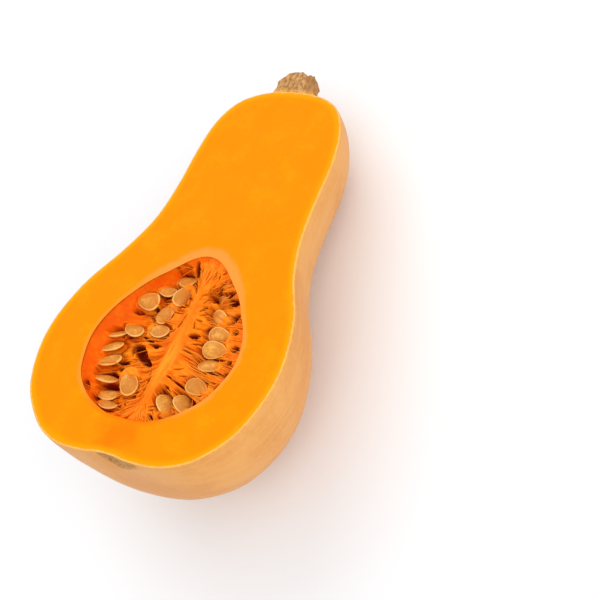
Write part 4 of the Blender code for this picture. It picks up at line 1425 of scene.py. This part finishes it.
def build_stage(stage):
    scene = bpy.context.scene
    lens = bpy.data.cameras.new("camera")
    lens.sensor_width = 36
    lens.lens = lens.sensor_width / 2 / math.tan(CAMERA_VIEW / 2)
    lens.clip_start = 0.01
    camera = add_object("camera", lens)
    camera.matrix_world = camera_place()
    scene.camera = camera

    mesh = bpy.data.meshes.new("floor")
    half = stage.floor_size / 2
    corners = [(-half, -half, 0), (half, -half, 0), (half, half, 0), (-half, half, 0)]
    mesh.from_pydata(corners, [], [(0, 1, 2, 3)])
    mesh.materials.append(floor_finish(stage))
    add_object("floor", mesh)

    world = bpy.data.worlds.new("studio")
    world.use_nodes = True
    sky = world.node_tree.nodes["Background"]
    sky.inputs["Color"].default_value = (0.975, 0.985, 1, 1)
    sky.inputs["Strength"].default_value = stage.surround
    scene.world = world
    area_light("key_light", (-0.6, 1.1, 1.3), 1.6, stage.key_power)
    area_light("side_light", (1.0, -0.2, 1.0), 1.6, stage.side_power)
    scene.view_settings.view_transform = "Standard"
    scene.view_settings.look = "None"


# Settings that a user would change


def colour_setting(name, description, red, green, blue):
    return FloatVectorProperty(
        name=name, description=description, subtype="COLOR", size=3, min=0, max=1,
        default=paint(red, green, blue),
    )


def length_setting(name, description, millimetres):
    return FloatProperty(
        name=name, description=description, subtype="DISTANCE", unit="LENGTH",
        default=millimetres * MM, min=0, precision=5,
    )


def power_setting(name, description, watts):
    return FloatProperty(name=name, description=description, unit="POWER", default=watts, min=0)


class SquashShape(bpy.types.PropertyGroup):
    rind_thickness: length_setting("Rind thickness", "Width of the pale line of rind at the cut", 1.0)
    rim_rounding: length_setting("Rim rounding", "Rounding of the rind's outer edge at the cut", 0.25)


class SquashPulp(bpy.types.PropertyGroup):
    strand_copies: IntProperty(
        name="Strands per bundle", description="Strands that follow each guide line", default=2, min=1
    )
    strand_spread: length_setting("Strand spread", "How far the strands of a bundle lie apart", 0.5)
    strand_radius: length_setting("Strand radius", "Radius of a middling strand", 0.17)
    strand_waviness: length_setting("Strand waviness", "How far a strand wanders from its line", 0.8)


class SquashColours(bpy.types.PropertyGroup):
    rind: colour_setting("Rind", "The rind's main tan", 230, 164, 90)
    rind_warm: colour_setting("Rind, warm", "Warmer patches of the rind", 220, 147, 72)
    rind_pale: colour_setting("Rind, pale", "Paler lengthwise streaks", 236, 177, 110)
    rim: colour_setting("Cut rind", "The pale line of the cut rind", 250, 188, 84)
    scar: colour_setting("Scar", "The blossom scar's brown cork", 138, 94, 54)
    scar_pale: colour_setting("Scar, pale", "The blossom scar's paler crumbs", 202, 150, 92)
    flesh: colour_setting("Flesh", "The flesh's main orange", 250, 150, 1)
    flesh_deep: colour_setting("Flesh, deep", "Deeper specks and patches of the flesh", 248, 141, 1)
    flesh_yellow: colour_setting("Flesh by the rind", "The yellower flesh next to the rind", 251, 162, 2)
    flesh_red: colour_setting("Flesh by the blossom", "The redder flesh at the blossom end", 250, 114, 2)
    pith: colour_setting("Lining", "The pale band round the cavity", 248, 152, 60)
    wall: colour_setting("Cavity wall", "The cavity's wall", 251, 118, 8)
    wall_deep: colour_setting("Cavity wall, deep", "Deeper patches of the wall", 240, 94, 4)
    pulp: colour_setting("Pulp", "The pulp's main orange", 253, 138, 12)
    pulp_red: colour_setting("Pulp, red", "Redder patches of the pulp", 248, 112, 5)
    # Painted shade: the dark red laid into the pulp's slits, pockets, furrows and troughs, and onto the
    # strands that lie in them
    pulp_deep: colour_setting("Pulp, deep", "Inside the pulp's hollows", 140, 28, 2)
    ridge: colour_setting("Ridge", "The pale ridge of the pulp", 253, 153, 34)
    # Also used as the painted highlight on the pulp's thread crests and slit lips
    strand: colour_setting("Strand", "The palest strands", 253, 154, 34)
    seed: colour_setting("Seed", "The seeds' main cream", 245, 174, 78)
    seed_dark: colour_setting("Seed, dark", "Darker patches of a seed", 208, 130, 48)
    seed_margin: colour_setting("Seed margin", "The paler edge of a seed", 246, 186, 100)
    seed_film: colour_setting("Seed film", "Pulp that clings to a seed", 236, 138, 40)
    cork_pale: colour_setting("Cut stem, pale", "The cut stem's paler fibres", 216, 168, 110)
    cork_dark: colour_setting("Stem, dark", "The stem's dark specks", 162, 110, 62)
    bark: colour_setting("Bark", "The stem's ribbed side", 192, 144, 92)
    stem_foot: colour_setting("Stem foot", "Where the stem grows into the squash", 250, 176, 66)


class SquashStage(bpy.types.PropertyGroup):
    floor: colour_setting("Floor", "The floor's colour", 248, 250, 252)
    floor_size: length_setting("Floor size", "Side of the square floor", 8000)
    surround: FloatProperty(name="Surround", description="Strength of the light from all round", default=0.8)
    key_power: power_setting("Key light", "Power of the main soft light", 10.0)
    side_power: power_setting("Side light", "Power of the soft light on the right", 8.0)


# Operators, one for each kind of piece


class SQUASH_OT_rind(bpy.types.Operator):
    """Build the thin rind with its cut edge and blossom scar"""

    bl_idname = "squash.build_rind"
    bl_label = "Rind"

    def execute(self, context):
        build_rind(context.scene.squash_shape, context.scene.squash_colours)
        return {"FINISHED"}


class SQUASH_OT_flesh(bpy.types.Operator):
    """Build the flesh with its cut face and the wall of the seed cavity"""

    bl_idname = "squash.build_flesh"
    bl_label = "Flesh"

    def execute(self, context):
        build_flesh(context.scene.squash_shape, context.scene.squash_colours)
        return {"FINISHED"}


class SQUASH_OT_pulp(bpy.types.Operator):
    """Build the bed of pulp with its ridge, slits and hollows"""

    bl_idname = "squash.build_pulp"
    bl_label = "Pulp"

    def execute(self, context):
        build_pulp(context.scene.squash_colours)
        return {"FINISHED"}


class SQUASH_OT_strands(bpy.types.Operator):
    """Grow the strands that lie over the pulp and the seeds"""

    bl_idname = "squash.build_strands"
    bl_label = "Strands"

    def execute(self, context):
        build_strands(context.scene.squash_pulp, context.scene.squash_colours)
        return {"FINISHED"}


class SQUASH_OT_seeds(bpy.types.Operator):
    """Build every seed where its CAD node lies"""

    bl_idname = "squash.build_seeds"
    bl_label = "Seeds"

    def execute(self, context):
        build_seeds(context.scene.squash_colours)
        return {"FINISHED"}


class SQUASH_OT_stem(bpy.types.Operator):
    """Build the corky stub of the stem"""

    bl_idname = "squash.build_stem"
    bl_label = "Stem"

    def execute(self, context):
        build_stem(context.scene.squash_colours)
        return {"FINISHED"}


class SQUASH_OT_stage(bpy.types.Operator):
    """Set up the floor, the soft lights and the camera"""

    bl_idname = "squash.build_stage"
    bl_label = "Stage"

    def execute(self, context):
        build_stage(context.scene.squash_stage)
        return {"FINISHED"}


OPERATORS = (
    SQUASH_OT_rind, SQUASH_OT_flesh, SQUASH_OT_pulp, SQUASH_OT_strands,
    SQUASH_OT_seeds, SQUASH_OT_stem, SQUASH_OT_stage,
)
SETTINGS = {
    "squash_shape": SquashShape,
    "squash_pulp": SquashPulp,
    "squash_colours": SquashColours,
    "squash_stage": SquashStage,
}


class SQUASH_PT_panel(bpy.types.Panel):
    """Lists the squash's pieces and settings"""

    bl_label = "Butternut Squash"
    bl_idname = "SQUASH_PT_panel"
    bl_space_type = "VIEW_3D"
    bl_region_type = "UI"
    bl_category = "Squash"

    def draw(self, context):
        for operator in OPERATORS:
            self.layout.operator(operator.bl_idname)
        for name, group in SETTINGS.items():
            box = self.layout.box()
            for setting in group.__annotations__:
                box.prop(getattr(context.scene, name), setting)


def register():
    for group in (*SETTINGS.values(), *OPERATORS, SQUASH_PT_panel):
        bpy.utils.register_class(group)
    for name, group in SETTINGS.items():
        setattr(bpy.types.Scene, name, PointerProperty(type=group))


def unregister():
    for name in SETTINGS:
        delattr(bpy.types.Scene, name)
    for group in reversed((*SETTINGS.values(), *OPERATORS, SQUASH_PT_panel)):
        bpy.utils.unregister_class(group)


def main():
    register()
    bpy.ops.squash.build_rind()
    bpy.ops.squash.build_flesh()
    bpy.ops.squash.build_pulp()
    bpy.ops.squash.build_strands()
    bpy.ops.squash.build_seeds()
    bpy.ops.squash.build_stem()
    bpy.ops.squash.build_stage()


if __name__ == "__main__":
    main()
